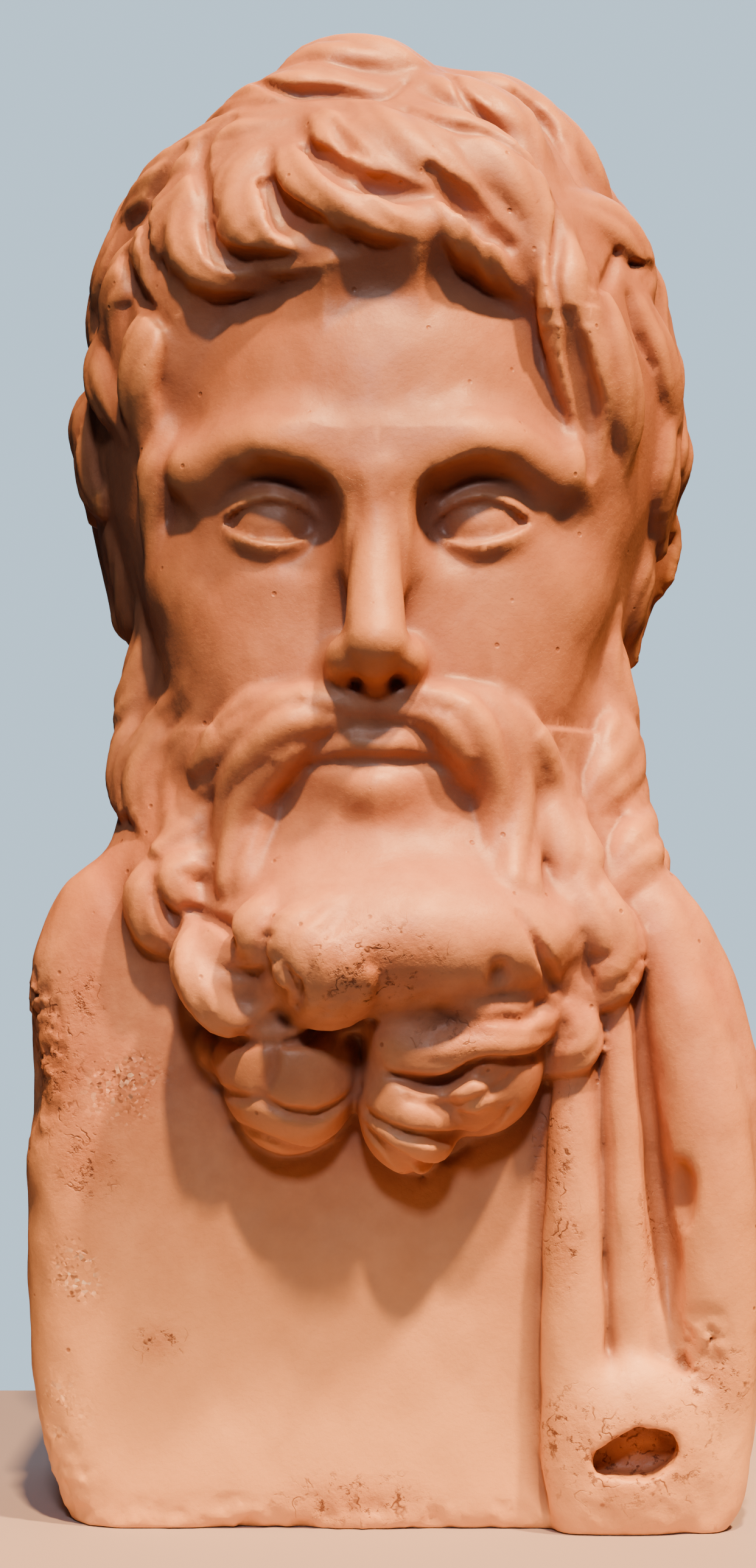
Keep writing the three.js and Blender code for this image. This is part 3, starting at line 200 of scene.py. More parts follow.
def roll(at, side, wide, deep, strands=0, near=None):
    """A roll of oval section through stations, with round ends. Past `near` millimetres it isn't worked out.

    Each grid point takes the distance to the oval of the nearest span. With strands, the skin is furrowed
    along the roll: its distance grows by a wave across the width, deepest between the strands.
    """
    reach = max(np.max(wide), np.max(deep))
    margin = 3 * FAR if near is None else reach + near

    def distance(x, y, z):
        nearest = np.full((x.size, y.size, z.size), 1e9, np.float32)
        found = np.full(nearest.shape, FAR, np.float32)
        for i in range(len(at) - 1):
            a, along = at[i], at[i + 1] - at[i]
            low = np.minimum(a, at[i + 1]) - margin
            high = np.maximum(a, at[i + 1]) + margin
            box = tuple(slice(*np.searchsorted(line.ravel(), ends))
                        for line, *ends in zip((x, y, z), low, high))
            if any(s.start >= s.stop for s in box):
                continue
            u, v, w = x[box[0]] - a[0], y[:, box[1]] - a[1], z[:, :, box[2]] - a[2]
            t = np.clip((u * along[0] + v * along[1] + w * along[2]) / (along @ along), 0, 1)
            ox, oy, oz = u - t * along[0], v - t * along[1], w - t * along[2]
            gap2 = ox * ox + oy * oy + oz * oz
            width = lerp(wide[i], wide[i + 1], t)
            depth = lerp(deep[i], deep[i + 1], t)
            across = ox * side[i][0] + oy * side[i][1] + oz * side[i][2]
            rise2 = np.maximum(gap2 - across * across, 0)
            k0 = np.sqrt((across / width) ** 2 + rise2 / depth**2)
            k1 = np.sqrt((across / width**2) ** 2 + rise2 / depth**4)
            value = k0 * (k0 - 1) / np.maximum(k1, 1e-6)
            if strands:
                ridge = np.abs(np.cos(math.pi * (strands * across / (2 * width) + 0.15 * (i + t))))
                value += FURROW * depth * (1 - ridge)
            closer = gap2 < nearest[box]
            nearest[box] = np.where(closer, gap2, nearest[box])
            found[box] = np.where(closer, value, found[box])
        return found

    return np.min(at, axis=0) - reach, np.max(at, axis=0) + reach, distance


def tube(points, radii, flat=1, steps=14):
    """A roll along a smooth curve through a few points. The radius runs evenly through its values."""
    t = np.linspace(0, 1, steps + 1)
    at, along = catmull_rom(np.array(points, float), t)
    radius = np.interp(t, np.linspace(0, 1, len(radii)), radii)
    side = unit(np.cross((0, -1, 0), along))
    return roll(at, side, radius, radius * flat)


def catmull_rom(points, t):
    """Centripetal Catmull-Rom curve through points, at shares t of its spans: places and unit directions."""
    padded = np.vstack([2 * points[0] - points[1], points, 2 * points[-1] - points[-2]])
    spans = len(points) - 1
    place = np.minimum((t * spans).astype(int), spans - 1)
    f = (t * spans - place)[:, None]
    p0, p1, p2, p3 = (padded[place + k] for k in range(4))
    steps = (p1 - p0, p2 - p1, p3 - p2)
    d0, d1, d2 = (np.maximum(np.linalg.norm(step, axis=1, keepdims=True), 1e-6) ** 0.5 for step in steps)
    m1 = d1 * ((p1 - p0) / d0 - (p2 - p0) / (d0 + d1) + (p2 - p1) / d1)
    m2 = d1 * ((p2 - p1) / d1 - (p3 - p1) / (d1 + d2) + (p3 - p2) / d2)
    c2 = -3 * p1 + 3 * p2 - 2 * m1 - m2
    c3 = 2 * p1 - 2 * p2 + m1 + m2
    at = p1 + m1 * f + c2 * f**2 + c3 * f**3
    return at, unit(m1 + 2 * c2 * f + 3 * c3 * f**2)


def head_tube(points, radii):
    return tube([head_point(*p) for p in points], np.array(radii) * PART)


# The head: skull, face, ears, hair and beard masses


def build_skull(field):
    field.join(head_ball(0, 2.5, 33.5, 16.4, 19.8, 17), 1)
    field.join(head_ball(0, -5.2, 20, 14, 12.2, 19.5), 8 * PART)
    field.join(head_tube([(0, 4, 20), (0, 3, 6), (0, 2, -4)], [10, 10, 10]), 4 * PART)


def build_face(field):
    """A calm, plain face: each feature is a few balls and rolls, placed by usual shares of the head."""
    for s in BOTH_SIDES:
        brow = [(s * 1.4, -17.3, 28), (s * 6, -17.2, 29.8), (s * 11.6, -13.6, 28.4)]
        field.join(head_tube(brow, [1.6, 1.7, 1.6]), 3 * PART)
    for s in BOTH_SIDES:
        field.cut(head_ball(s * 6.9, -18.4, 25, 4.5, 3.3, 3.1), 2.2 * PART)
    for s in BOTH_SIDES:
        field.join(head_ball(s * 9.2, -9.8, 20.6, 5.6, 5.2, 4.2), 4 * PART)
        field.join(head_ball(s * 6.6, -10.6, 14, 6.4, 6, 7), 4 * PART)
    for s in BOTH_SIDES:
        build_eye(field, s)
    nose = [(0, -16, 29), (0, -17.4, 25.6), (0, -19.9, 20), (0, -21.5, 16.9)]
    field.join(head_tube(nose, [1.9, 1.5, 1.75, 1.95]), 2.6 * PART)
    for s in BOTH_SIDES:
        field.join(head_ball(s * 2, -19.1, 15.8, 1.3, 2.3, 1.5), 1.5 * PART)
    field.join(head_tube([(0, -21.2, 15.3), (0, -19.2, 14.4)], [1, 0.9]), 0.8 * PART)
    for s in BOTH_SIDES:
        field.cut(head_ball(s * 1.3, -19.9, 14.1, 0.7, 1.2, 0.8), 0.5 * PART)
    field.join(head_ball(0, -15.8, 10.5, 6, 3.4, 5), 3 * PART)
    bow = [(4.6, -17.2, 9.5), (1.8, -18.9, 10.5)]
    upper_lip = [(-x, y, z) for x, y, z in bow] + [(0, -19.1, 10.2)] + bow[::-1]
    field.join(head_tube(upper_lip, [0.4, 0.8, 0.8, 0.8, 0.4]), 0.8 * PART)
    lower_lip = [(-3.8, -17.3, 8.8), (0, -18.9, 7.9), (3.8, -17.3, 8.8)]
    field.join(head_tube(lower_lip, [0.5, 1.2, 0.5]), 0.8 * PART)
    parting = [(-5, -18.2, 9.1), (0, -20, 9.4), (5, -18.2, 9.1)]
    field.cut(head_tube(parting, [0.35, 0.45, 0.35]), 0.5 * PART)


def build_eye(field, s):
    """An eyeball under lids, which are a thicker shell with an almond opening between two parabolas."""
    centre = head_point(s * 6.65, -13.6, 24.8)
    low, high, shell = head_ball(s * 6.65, -13.6, 24.8, 3.75, 3.75, 3.6)

    def lids(x, y, z):
        u = s * (x - centre[0]) / PART
        w = (z - centre[2]) / PART - 0.06 * u
        arch = 1 - np.minimum((u / 3.5) ** 2, 1.4)
        opening = np.maximum(w - 1.55 * arch, -1.25 * arch - w) * PART
        return soft_max(shell(x, y, z), -opening, 0.3 * PART)

    field.join(head_ball(s * 6.65, -13.6, 24.8, 3.1, 3.1, 3.1), 0.3 * PART)
    field.join((low, high, lids), 0.5 * PART)


def build_ears(field):
    """Ears with a rolled rim. The right one sits a little higher than the left."""
    rim = [
        (0.4, -1.2, 23.5), (1.6, -0.8, 27.6), (2.8, 1.8, 29.4), (3.4, 4.6, 27.6), (2.9, 4.8, 23),
        (1.8, 3.2, 18.4), (1, 1.2, 15.8),
    ]
    for s in BOTH_SIDES:
        rise = 3.5 - s
        field.join(head_ball(s * 17, 1.8, 22.5 + rise, 1.6, 3.4, 6.8), 1.2 * PART)
        path = [(s * (16 + out), y, z + rise) for out, y, z in rim]
        field.join(head_tube(path, [0.8, 0.9, 1, 1.05, 1, 1.1, 1.4]), 0.6 * PART)
        field.cut(head_ball(s * 18.6, 1.4, 22.4 + rise, 1.3, 1.8, 3.2), 0.8 * PART)
        field.join(head_ball(s * 16.8, -1.6, 21.6 + rise, 0.9, 1, 1.5), 0.8 * PART)


def build_hair_mass(field):
    """A cap with soft windows that leave the face free, and a curtain behind the ears to the neck."""
    low, high, cap = head_ball(0.4, 2, 33.5, 20, 21.9, 17 + HAIR_RISE / PART)
    openings = [
        (-7.5, 27, 9, 17), (-6, 18, 11.5, 24), (0, 18, 11.5, 25.5), (6, 18, 11.5, 24), (6.5, 27, 9, 17),
    ]
    windows = [head_ball(x, -24, z, wide, 19.5, tall)[2] for x, z, wide, tall in openings]
    reach = 8 * PART

    def framed(x, y, z):
        window = np.minimum.reduce([distance(x, y, z) for distance in windows])
        return soft_max(cap(x, y, z), -window, 3 * PART)

    field.join((low - reach, high + reach, framed), 3 * PART)
    field.join(head_ball(-2, -1, 49, 8.2, 10, 9.4), 3 * PART)
    field.join(head_ball(-9.5, 2, 44, 8, 10, 8), 4 * PART)
    curtain = [(0, 7, 28, 16, 13), (0.6, 5.5, 20, 12.4, 11.5), (1.2, 5, 8.5, 14.8, 9.5)]
    at = np.array([head_point(x, y, z) for x, y, z, _, _ in curtain])
    wide, deep = (np.array([station[k] for station in curtain]) * PART for k in (3, 4))
    field.join(roll(at, np.tile((1.0, 0.0, 0.0), (3, 1)), wide, deep), 3 * PART)


BEARD_MASSES = [  # balls in head parts: blend, middle, half sizes
    (4, 0.4, -9.5, 0.5, 13, 11, 9),
    (2.4, 1.2, -15.6, -2, 12, 8.8, 5.8),
    (2, -12.2, -11, 0.6, 3.8, 4.8, 5.2),
    (2, 12.6, -11.5, -1.6, 3.8, 5, 5.6),
    (1.2, 10.8, -13, -7, 2.8, 4.2, 3.6),
    # The snail curl on the left, and the lobe next to it
    (1.2, -9.2, -15.2, -3.8, 3.6, 5, 4),
    (1.4, -2.9, -18.6, -4.6, 3, 4.2, 3.2),
    # The two bundles that hang from the lower edge
    (0.8, -5.5, -15, -9.8, 4.7, 5, 6.1),
    (0.8, 2.3, -16.2, -12.4, 3.5, 4.6, 4.8),
    (0.8, 6.2, -15.4, -9.4, 4.7, 5, 5.3),
    # The drilled curl over the right bundle, and the roll that it ends
    (1.6, 5.6, -16.8, -6.4, 4.8, 3.6, 2.6),
    (1.4, 2, -18, -8.4, 2.6, 3.2, 2.4),
]


def build_beard_mass(field):
    for s in BOTH_SIDES:
        jaw = [(s * 13.2, -2.5, 22), (s * 13, -5.5, 12), (s * 12.2, -8, 3.5)]
        field.join(head_tube(jaw, [2.2, 4, 4.8]), 3 * PART)
    for blend, *mass in BEARD_MASSES:
        field.join(head_ball(*mass), blend * PART)


# Locks are combed over the finished masses


def comb(field, locks, away, steps=14):
    """Follows a field's surface from near each lock's start, all locks at once.

    The way starts along `away`, turned by the heading, and after the share `onset` bends by `turn` in all.
    Angles are in degrees, anticlockwise seen from outside. Gives places and sides, (locks, steps + 1, 3).
    """
    columns = [np.array(column, float) for column in zip(*locks)]
    start, heading, length, turn, onset = columns[:5]
    p = field.settle(start)
    normal = field.normal(p)
    along = turned(in_plane(away, normal), normal, heading)
    places, sides = [], []
    for i in range(steps + 1):
        t = i / steps
        places.append(p + normal * lerp(-0.5, 0.25, t) * PART)
        sides.append(unit(np.cross(normal, along)))
        bend = np.where(t < onset, 0, turn / (steps * (1 - onset)))
        along = turned(along, normal, bend)
        p = field.settle(p + along * (length * PART / steps)[:, None])
        normal = field.normal(p)
        along = in_plane(along, normal)
    return np.stack(places, axis=1), np.stack(sides, axis=1)


def section(width, depth, tip, count):
    """Half widths and depths at `count` stations: a lock swells from its root and tapers to its tip."""
    t = np.linspace(0, 1, count)
    swell = lerp(0.55, 1, smoothstep(t, 0, 0.35)) * lerp(1, tip, smoothstep(t, 0.55, 1))
    return width / 2 * PART * swell, depth * PART * swell


def carve_lock(field, at, side, width, depth, tip):
    strands = max(2, round(width * 0.5))
    field.join(roll(at, side, *section(width, depth, tip, len(at)), strands, NEAR), 0.6 * PART)


def carve_locks(field, masses, locks, away):
    """Combs locks and joins them. Their rows say start, heading, length, turn, onset, width and depth."""
    for lock, at, side in zip(locks, *comb(masses, locks, away)):
        carve_lock(field, at, side, *lock[5:], LOCK_TIP)


def carve_side_locks(field, masses):
    locks = [(head_point(*start), *rest) for start, *rest in SIDE_LOCKS]
    carve_locks(field, masses, locks, np.tile((0.0, 0.0, -1.0), (len(locks), 1)))


def drape(field, over, rise=0.0, steps=16):
    """Lays a curve on a field's surface. It is drawn from the front, through points (x, z) in head parts.

    From each place on it a line runs back, and its first point in the stone is taken, or else the nearest.
    The height over the surface is `rise` times a half sine wave less 0.7, so the ends are a little sunk in.
    """
    points = np.array([head_point(x, 0, z) for x, z in over])
    drawn, _ = catmull_rom(points, np.linspace(0, 1, steps + 1))
    depths = PART * np.arange(-32, 8, 0.5)
    line = np.repeat(drawn[:, None], len(depths), axis=1)
    line[:, :, 1] = depths
    values = field.at(line.reshape(-1, 3)).reshape(len(drawn), -1)
    within = values < 0
    first = np.where(within.any(axis=1), within.argmax(axis=1), values.argmin(axis=1))
    places = field.settle(line[np.arange(len(drawn)), first])
    for _ in range(2):
        places[1:-1] = (places[:-2] + 2 * places[1:-1] + places[2:]) / 4
    normal = field.normal(places)
    height = rise * (np.sin(np.linspace(0, math.pi, steps + 1)) - 0.7)[:, None] * PART
    return places + normal * height, unit(np.cross(normal, np.gradient(places, axis=0)))


def carve_drawn_locks(field, masses, locks):
    for width, depth, tip, *over in locks:
        carve_lock(field, *drape(masses, over, 1.0), width, depth, tip)


def carve_grooves(field):
    """Cuts between and along the locks, deepest on their drawn lines."""
    locks = field.copy()
    for width, depth, *over in GROOVES:
        at, side = drape(locks, over)
        field.cut(roll(at, side, *section(width, depth, LOCK_TIP, len(at)), near=NEAR), 0.4 * PART)


def carve_hair_rows(field, masses):
    """Rows of locks fan out from the crown, row below row, down to the nape."""
    rows = ((14, 8), (30, 15), (46, 19), (62, 22), (78, 23), (95, 22), (113, 19), (132, 15))
    centre = head_point(0, 4, 32)
    locks = []
    for row, (tilt, count) in enumerate(rows):
        for i in range(count):
            n = 31 * row + i
            around = 2 * math.pi * (i + 0.5 * (row % 2) + 0.4 * (chance(n) - 0.5)) / count
            fall = math.radians(tilt + 5 * (chance(n + 500) - 0.5))
            out = math.sin(fall)
            aim = np.array([out * math.sin(around), -out * math.cos(around), math.cos(fall)])
            start = centre + aim * 25 * PART
            if is_frontal(start):
                continue
            swirl = 1 if chance(n + 900) > 0.4 else -1
            heading = -swirl * (18 + 22 * chance(n + 300))
            length = 9.5 + 3.5 * chance(n + 700)
            turn = swirl * (45 + 65 * chance(n + 100))
            locks.append((start, heading, length, turn, 0.2, 5 + chance(n + 50), 1.4))
    away = np.array([lock[0] for lock in locks]) - CROWN
    carve_locks(field, masses, locks, away)


def is_frontal(p):
    """True where the rows leave room for the fringe, the face and the ears."""
    y = p[1] / PART
    z = (p[2] - CHIN_LEVEL) / PART
    return y < 1 - 0.25 * (56 - z) or (y < 7 and z < 32)


# Drawn locks, in head parts: width, depth and the tip's share of both, then the points (x, z) on the way.
# In the hair: the tuft over the crown, the fringe, the temples
HAIR = [
    (4.8, 1.4, 0.6, (4.5, 56.5), (0.5, 57), (-4, 57), (-7.5, 55)),
    (4, 1.1, 0.5, (0, 54.5), (-4, 55), (-7.5, 54), (-10.5, 53.5), (-14.5, 51.5)),
    (5.6, 1.4, 0.5, (-4.5, 53), (-8.5, 51.5), (-12.5, 50), (-16.5, 48.5), (-18.5, 45)),
    (4.6, 1.1, 0.4, (-14.5, 46), (-16.5, 43), (-17.5, 40), (-17, 35.5)),
    (4, 1.1, 0.4, (-16.5, 45), (-19, 43), (-19, 39.5), (-19.5, 36.5)),
    (5.4, 1.2, 0.4, (-7.5, 51.5), (-11, 48.5), (-14, 45), (-15, 42), (-13.5, 38.5)),
    (3.8, 1.2, 0.5, (-7, 52), (-10.5, 48.5), (-12.5, 45.5), (-11.5, 42), (-8, 41.5), (-4, 41.5)),
    (4.2, 1.1, 0.5, (-5.5, 52), (-8, 49.5), (-9, 46.5), (-7.5, 43.5), (-4.5, 42.5), (-1.5, 43)),
    (3.6, 1.3, 0.4, (-6.5, 51), (-5, 47.5), (-2.5, 45.5), (1, 44), (4, 44)),
    (3.2, 1.1, 0.5, (-5, 53), (-3, 51), (-2, 49), (1, 47), (4.5, 46)),
    (4.4, 1.2, 0.4, (-1.5, 53.5), (0, 51), (2.5, 49), (5.5, 47), (8, 45.5)),
    (5, 1.3, 0.4, (1, 54), (3.5, 51.5), (6.5, 49.5), (9, 47.5), (11, 44), (11, 40)),
    (2.8, 1.1, 0.5, (3.5, 46), (5.5, 43.5), (8, 41.5), (10, 39.5)),
    (4.8, 1.2, 0.4, (2, 56), (6, 54), (9.5, 52), (11.5, 47.5)),
    (5, 1.3, 0.4, (4.5, 57.5), (8.5, 56), (12, 53.5), (14, 49.5)),
    (5, 1.3, 0.4, (8, 56), (11.5, 54), (14.5, 51), (17, 47)),
    (5, 1.2, 0.5, (12.5, 46.5), (16, 46), (18, 43.5), (17.5, 39.5)),
    (4.2, 1.2, 0.4, (12, 46), (12, 42.5), (12.5, 38), (13.5, 34), (14, 30)),
    (4.2, 1.2, 0.4, (13.5, 43), (14.5, 39), (15.5, 35), (16.5, 31), (16, 28)),
    (4.4, 1.2, 0.5, (16.5, 42.5), (18.5, 39), (19.5, 35.5), (20, 32.5), (19, 29.5)),
    (4, 1.1, 0.6, (-15, 40.5), (-15, 37.5), (-15.5, 34), (-15, 30.5)),
    (3.8, 1.1, 0.6, (-17, 41), (-18.5, 38), (-18, 34.5), (-16.5, 31.5)),
    (2.6, 0.8, 0.6, (-14, 32), (-14.5, 29), (-14.5, 26), (-15, 21.5)),
    (2.8, 0.9, 0.6, (12.5, 39), (14, 36.5), (14.5, 33.5), (15, 30)),
]

# Combed locks behind the jaw and down the cheek: start, heading, length, turn, onset, width and depth
SIDE_LOCKS = [lock for s in BOTH_SIDES for lock in (
    ((s * 17.4, 6, 26), s * 10, 15, -s * 40, 0, 4.8, 1.4),
    ((s * 16.8, 2, 16), s * 4, 11 + 2 * s, -s * 46, 0.4, 5, 1.4),
    ((s * 16.6, 10, 18), -s * 6, 15, s * 40, 0, 5, 1.4),
    ((s * 16, -2.4, 26), -s * 4, 9, s * 50, 0.2, 3.6, 1.1),
    ((s * 15, -6, 20), -s * 8, 10, s * 70, 0.2, 4, 1.3),
    ((s * 15.8, -2.4, 17), s * 4, 11, -s * 60, 0.2, 4.4, 1.4),
    ((s * 15, -6, 13), -s * 14, 8, -s * 40, 0.3, 4.6, 1.4),
    ((s * 12.4, -13, 10.5), -s * 12, 8, s * 60, 0.3, 4.2, 1.2),
)]

# The moustache: on each side a broad lock parts under the nose and falls round the mouth, one more above it
MOUSTACHE = [lock for s in BOTH_SIDES for lock in (
    (4.4, 1.3, 0.8, (s * 3.4, 13.8), (s * 7.4, 12.2), (s * 10.4, 8.8), (s * 11.8, 4.4)),
    (5, 2.1, 0.8, (s * 0.9, 12.8), (s * 4.2, 12.6), (s * 7, 9.8), (s * 8.3, 6), (s * 9, 2)),
)]

# The beard: cheeks and jaw, the snail curl and the lock round it, the lobe and the roll under it
BEARD = [
    (4.2, 1.1, 0.4, (-12.5, 14.5), (-14.5, 11), (-15, 7), (-13, 4)),
    (3.8, 0.9, 0.4, (-11, 13), (-12.5, 10), (-12.5, 6), (-11, 3)),
    (3.2, 1.1, 0.6, (-14, 4), (-15, 1), (-14, -1.5), (-12.5, -2.5)),
    (2.6, 0.9, 0.6, (-9, 2.5), (-11.5, 3), (-13, 2), (-12, 0.5), (-10.5, 0.5)),
    (4.2, 1.1, 0.4, (15, 15), (16, 11.5), (15, 8), (14, 5)),
    (4.2, 1.2, 0.4, (17, 11), (17.5, 6.5), (17, 3.5), (15, 1)),
    (4.6, 1.2, 0.4, (8.5, 8.5), (11, 5.5), (13, 2.5), (12, -1.5)),
    (4.4, 1.4, 0.6, (12, 4), (14, 0.5), (15.5, -3), (14, -5.5), (12, -4.5)),
    (3, 0.8, 0.8, (-7, 1.5), (-7.5, -0.5), (-8, -2), (-8.5, -3)),
    (3, 1.4, 0.7, (-12, -0.5), (-12, -2.5), (-11, -5), (-9.5, -6.5), (-7.5, -6.5), (-6, -4.5)),
    (5.2, 1.3, 0.7, (-3, 0.5), (-4.5, -2), (-3.5, -4.5), (-4.5, -7)),
    (3.6, 0.9, 0.7, (0, -1), (-2, -3), (-1.5, -5), (-2.5, -7)),
    (3.2, 1, 0.8, (1, -9.5), (3.5, -9.5), (6, -8.5), (8.5, -8), (11, -7), (11, -4.5)),
    (2.2, 0.6, 0.7, (4.5, -5.5), (6.5, -6.5), (8.5, -6.5), (10, -5.5)),
    (3.2, 1.2, 0.7, (11.5, -5.5), (13, -7.5), (12.5, -9.5), (11, -10.5)),
    (2.4, 0.7, 0.8, (4, -11.5), (6, -11.5), (7.5, -12.5)),
    (2.2, 0.8, 0.8, (-10, -8), (-10.5, -9), (-10, -10)),
]

# Cuts between and along the locks: width and depth, then the points on the way
GROOVES = [
    (1.1, 0.7, (-8, 55.5), (-5.5, 54), (-2.5, 54), (0.5, 53.5), (2, 55)),
    (2.2, 0.9, (-4.5, 49.5), (-2, 47), (1, 46), (4, 46)),
    (1.2, 0.6, (-3, 51.5), (-2, 49.5), (-1, 48.5)),
    (2.4, 1.2, (3.5, 47.5), (5.5, 45.5), (7, 44), (8.5, 43)),
    (2.9, 0.8, (-7, 47), (-5.5, 44.5), (-4, 43), (-1.5, 42.5)),
    (1.5, 0.6, (-11, 44.5), (-10.5, 42.5), (-7.5, 42), (-3.5, 42)),
    (1, 0.6, (2, 52.5), (4.5, 51), (7.5, 50.5), (10.5, 48.5)),
    (0.9, 0.6, (5, 55.5), (6, 53.5), (7.5, 52), (9.5, 50)),
    (1, 0.6, (9.5, 55.5), (11.5, 53.5), (12.5, 51), (13.5, 48.5)),
    (1.2, 0.7, (11.5, 46.5), (12, 44), (11.5, 41), (12, 38.5)),
    (1.4, 0.6, (-9.5, 52.5), (-11.5, 51), (-11.5, 48), (-10.5, 45)),
    (1.4, 0.6, (-13, 51), (-14.5, 49), (-15.5, 45.5), (-14.5, 42)),
    (1.5, 0.7, (-17, 44), (-16, 41), (-14, 38.5)),
    (2, 0.9, (12.5, 38.5), (13, 36), (14, 32.5), (14, 28.5)),
    (1, 0.6, (17, 41), (17.5, 38.5), (18.5, 36.5)),
    (1.1, 0.5, (16, 44), (15.5, 42), (14.5, 40.5)),
    (0.9, 0.7, (-12, 0), (-10.5, -0.5), (-9.5, -1), (-9, -2), (-9, -2.5)),
    (0.6, 0.3, (-10, -3.5), (-9, -4), (-7.5, -4), (-6, -3)),
    (1.2, 0.9, (-5.5, -4), (-5, -5), (-5, -6)),
    (1.5, 1.3, (-5.5, -8.5), (-3.5, -8), (-1.5, -7.5), (-0.5, -7)),
    (1.2, 0.8, (1, -10.5), (2.5, -11), (4.5, -11), (6.5, -9.5), (10, -9.5)),
    (0.7, 0.4, (7, -7), (8.5, -7), (9.5, -7), (10.5, -6)),
    (1, 0.6, (9, -0.5), (10.5, -3), (11.5, -5), (12, -5.5)),
    (1, 0.6, (-7.5, -12), (-5, -13), (-3.5, -13), (-1, -11.5)),
    (0.8, 0.4, (-9.5, -14), (-7, -14.5), (-4.5, -15.5), (-2.5, -14.5)),
    (0.9, 0.5, (-10.5, -8), (-9, -8.5), (-6.5, -8.5)),
    (0.9, 0.4, (-6.5, -8.5), (-6.5, -10), (-7.5, -12)),
    (0.8, 0.4, (-10.5, -11.5), (-9, -12), (-7, -12)),
    (1, 0.6, (-0.5, -13), (1.5, -14), (4, -14.5), (6.5, -14.5), (8.5, -12.5)),
    (1, 0.6, (-0.5, -14), (1, -15.5), (4, -16.5), (6, -15.5)),
    (0.8, 0.5, (0.5, -15.5), (1.5, -16.5), (3, -17.5)),
    (0.8, 0.4, (2, -12), (4.5, -12.5), (6.5, -12), (8.5, -10.5)),
]

# Drilled eyes of the curls, in head parts: place, half width, half depth, half height
DRILLED = [
    (7.8, -24.6, -4.3, 1.1, 3.2, 1.6),
    (1.6, -24, -7.8, 0.8, 2.4, 0.8),
]


def carve_drillings(field):
    """The drilled eyes of the curls, and the cleft that parts the bundles."""
    for x, y, z, wide, deep, tall in DRILLED:
        field.cut(head_ball(x, y, z, wide, deep, tall), 0.5 * PART)
    cleft = [(-1.5, -27, -5.6), (-0.9, -24.5, -9), (-0.5, -22, -13), (-0.5, -20, -18)]
    field.cut(head_tube(cleft, [0.6, 0.7, 0.8, 1.3]), 1.2 * PART)


# The bust: a squared block with worn edges and rounded shoulders


def outline_distance(x, z):
    """Distance to the block's outline from the front: round shoulders and a worn, narrower foot."""
    sides = ((0.25, 0.42), (0.24, 0.45), (0.11, 0.06))
    width, height, worn = (np.where(x < 0, left, right).astype(np.float32) for left, right in sides)
    reach = HALF_WIDTH * (1 - 0.12 * np.exp(-np.maximum(z, 0) / (worn * SHOULDER_LEVEL)))
    corner = width * HALF_WIDTH
    u = np.abs(x) - reach + corner
    v = ((z - SHOULDER_LEVEL) / (height * SHOULDER_LEVEL) + 1) * corner
    return np.hypot(np.maximum(u, 0), np.maximum(v, 0)) + np.minimum(np.maximum(u, v), 0) - corner


def build_bust(field):
    def block(x, y, z):
        front = CHEST_OFFSET + 2.5 * (x / HALF_WIDTH) ** 2 - y
        outline = outline_distance(x, z + 0.06 * np.maximum(y, 0))
        return soft_max(outline, np.maximum(front, y - BACK_OFFSET), 2 * EDGE_ROUND)

    field.join(((-HALF_WIDTH, CHEST_OFFSET, -8), (HALF_WIDTH, BACK_OFFSET, SHOULDER_LEVEL + 4), block), 9)
    neck = (0.62 * HALF_WIDTH, 0.36 * BUST_DEPTH, 17)
    field.join(ball((HEAD_SHIFT, 6, SHOULDER_LEVEL - 8), neck), 12)


CHIPS = [  # old breaks along the edges: place in shares of the bust, size in millimetres
    ((-1.06, -0.4, 0.67), (7, 16, 13)),
    ((-1.05, -0.5, 0.47), (6, 12, 9)),
    ((-0.98, -0.5, 0.02), (9, 9, 7)),
    ((-0.35, -0.53, -0.02), (16, 7, 4.5)),
    ((0.2, -0.54, -0.02), (22, 7, 4)),
    ((0.9, 0.5, 0.98), (14, 12, 7)),
    ((-0.5, 0.54, -0.02), (18, 8, 6)),
]


def build_chips(field):
    for (x, y, z), size in CHIPS:
        field.cut(ball((x * HALF_WIDTH, y * BUST_DEPTH + 4.5, z * SHOULDER_LEVEL), size), 3)


# Folds of the cloak: x in half widths, y in cloth thicknesses, z in shoulder heights, radius in millimetres
BORDER = [
    (0.6, 7, 1.01, 3.4), (0.55, 1.2, 0.93, 3.6), (0.49, 0, 0.78, 3.8), (0.486, -0.3, 0.64, 4.8),
    (0.482, -0.4, 0.45, 5.8), (0.48, -0.4, 0.26, 6.3), (0.5, -0.1, 0.02, 6.2),
]
MIDDLE = [
    (0.66, 7, 1.01, 3), (0.57, 1, 0.93, 3), (0.598, -0.1, 0.82, 3), (0.606, -0.3, 0.64, 3.7),
    (0.622, -0.3, 0.46, 4.2), (0.64, 0, 0.25, 3.6),
]
OUTER = [
    (0.72, 7, 1, 5), (0.68, 1.4, 0.94, 5.4), (0.765, 0.4, 0.8, 7), (0.84, 0.1, 0.6, 8.6),
    (0.868, 0, 0.4, 8), (0.865, 0.3, 0.2, 8.2), (0.84, 0.5, -0.04, 8),
]
VALLEY = [
    (0.575, 0.6, 0.95, 1.8), (0.645, -0.4, 0.82, 1.9), (0.683, -0.4, 0.64, 2.3), (0.71, -0.4, 0.52, 3),
    (0.731, -0.4, 0.41, 2.8), (0.742, -0.8, 0.29, 1.7),
]
GROOVE = [
    (0.525, -0.9, 0.78, 1.2), (0.551, -1, 0.64, 1.5), (0.566, -1, 0.5, 1.5), (0.578, -1, 0.37, 1.1),
]


def fold(stations, flat=0.8):
    lengths = (HALF_WIDTH, CLOAK_THICKNESS, SHOULDER_LEVEL)
    points = [np.array(place) * lengths + (0, CHEST_OFFSET, 0) for *place, _ in stations]
    return tube(points, [station[3] for station in stations], flat, 20)


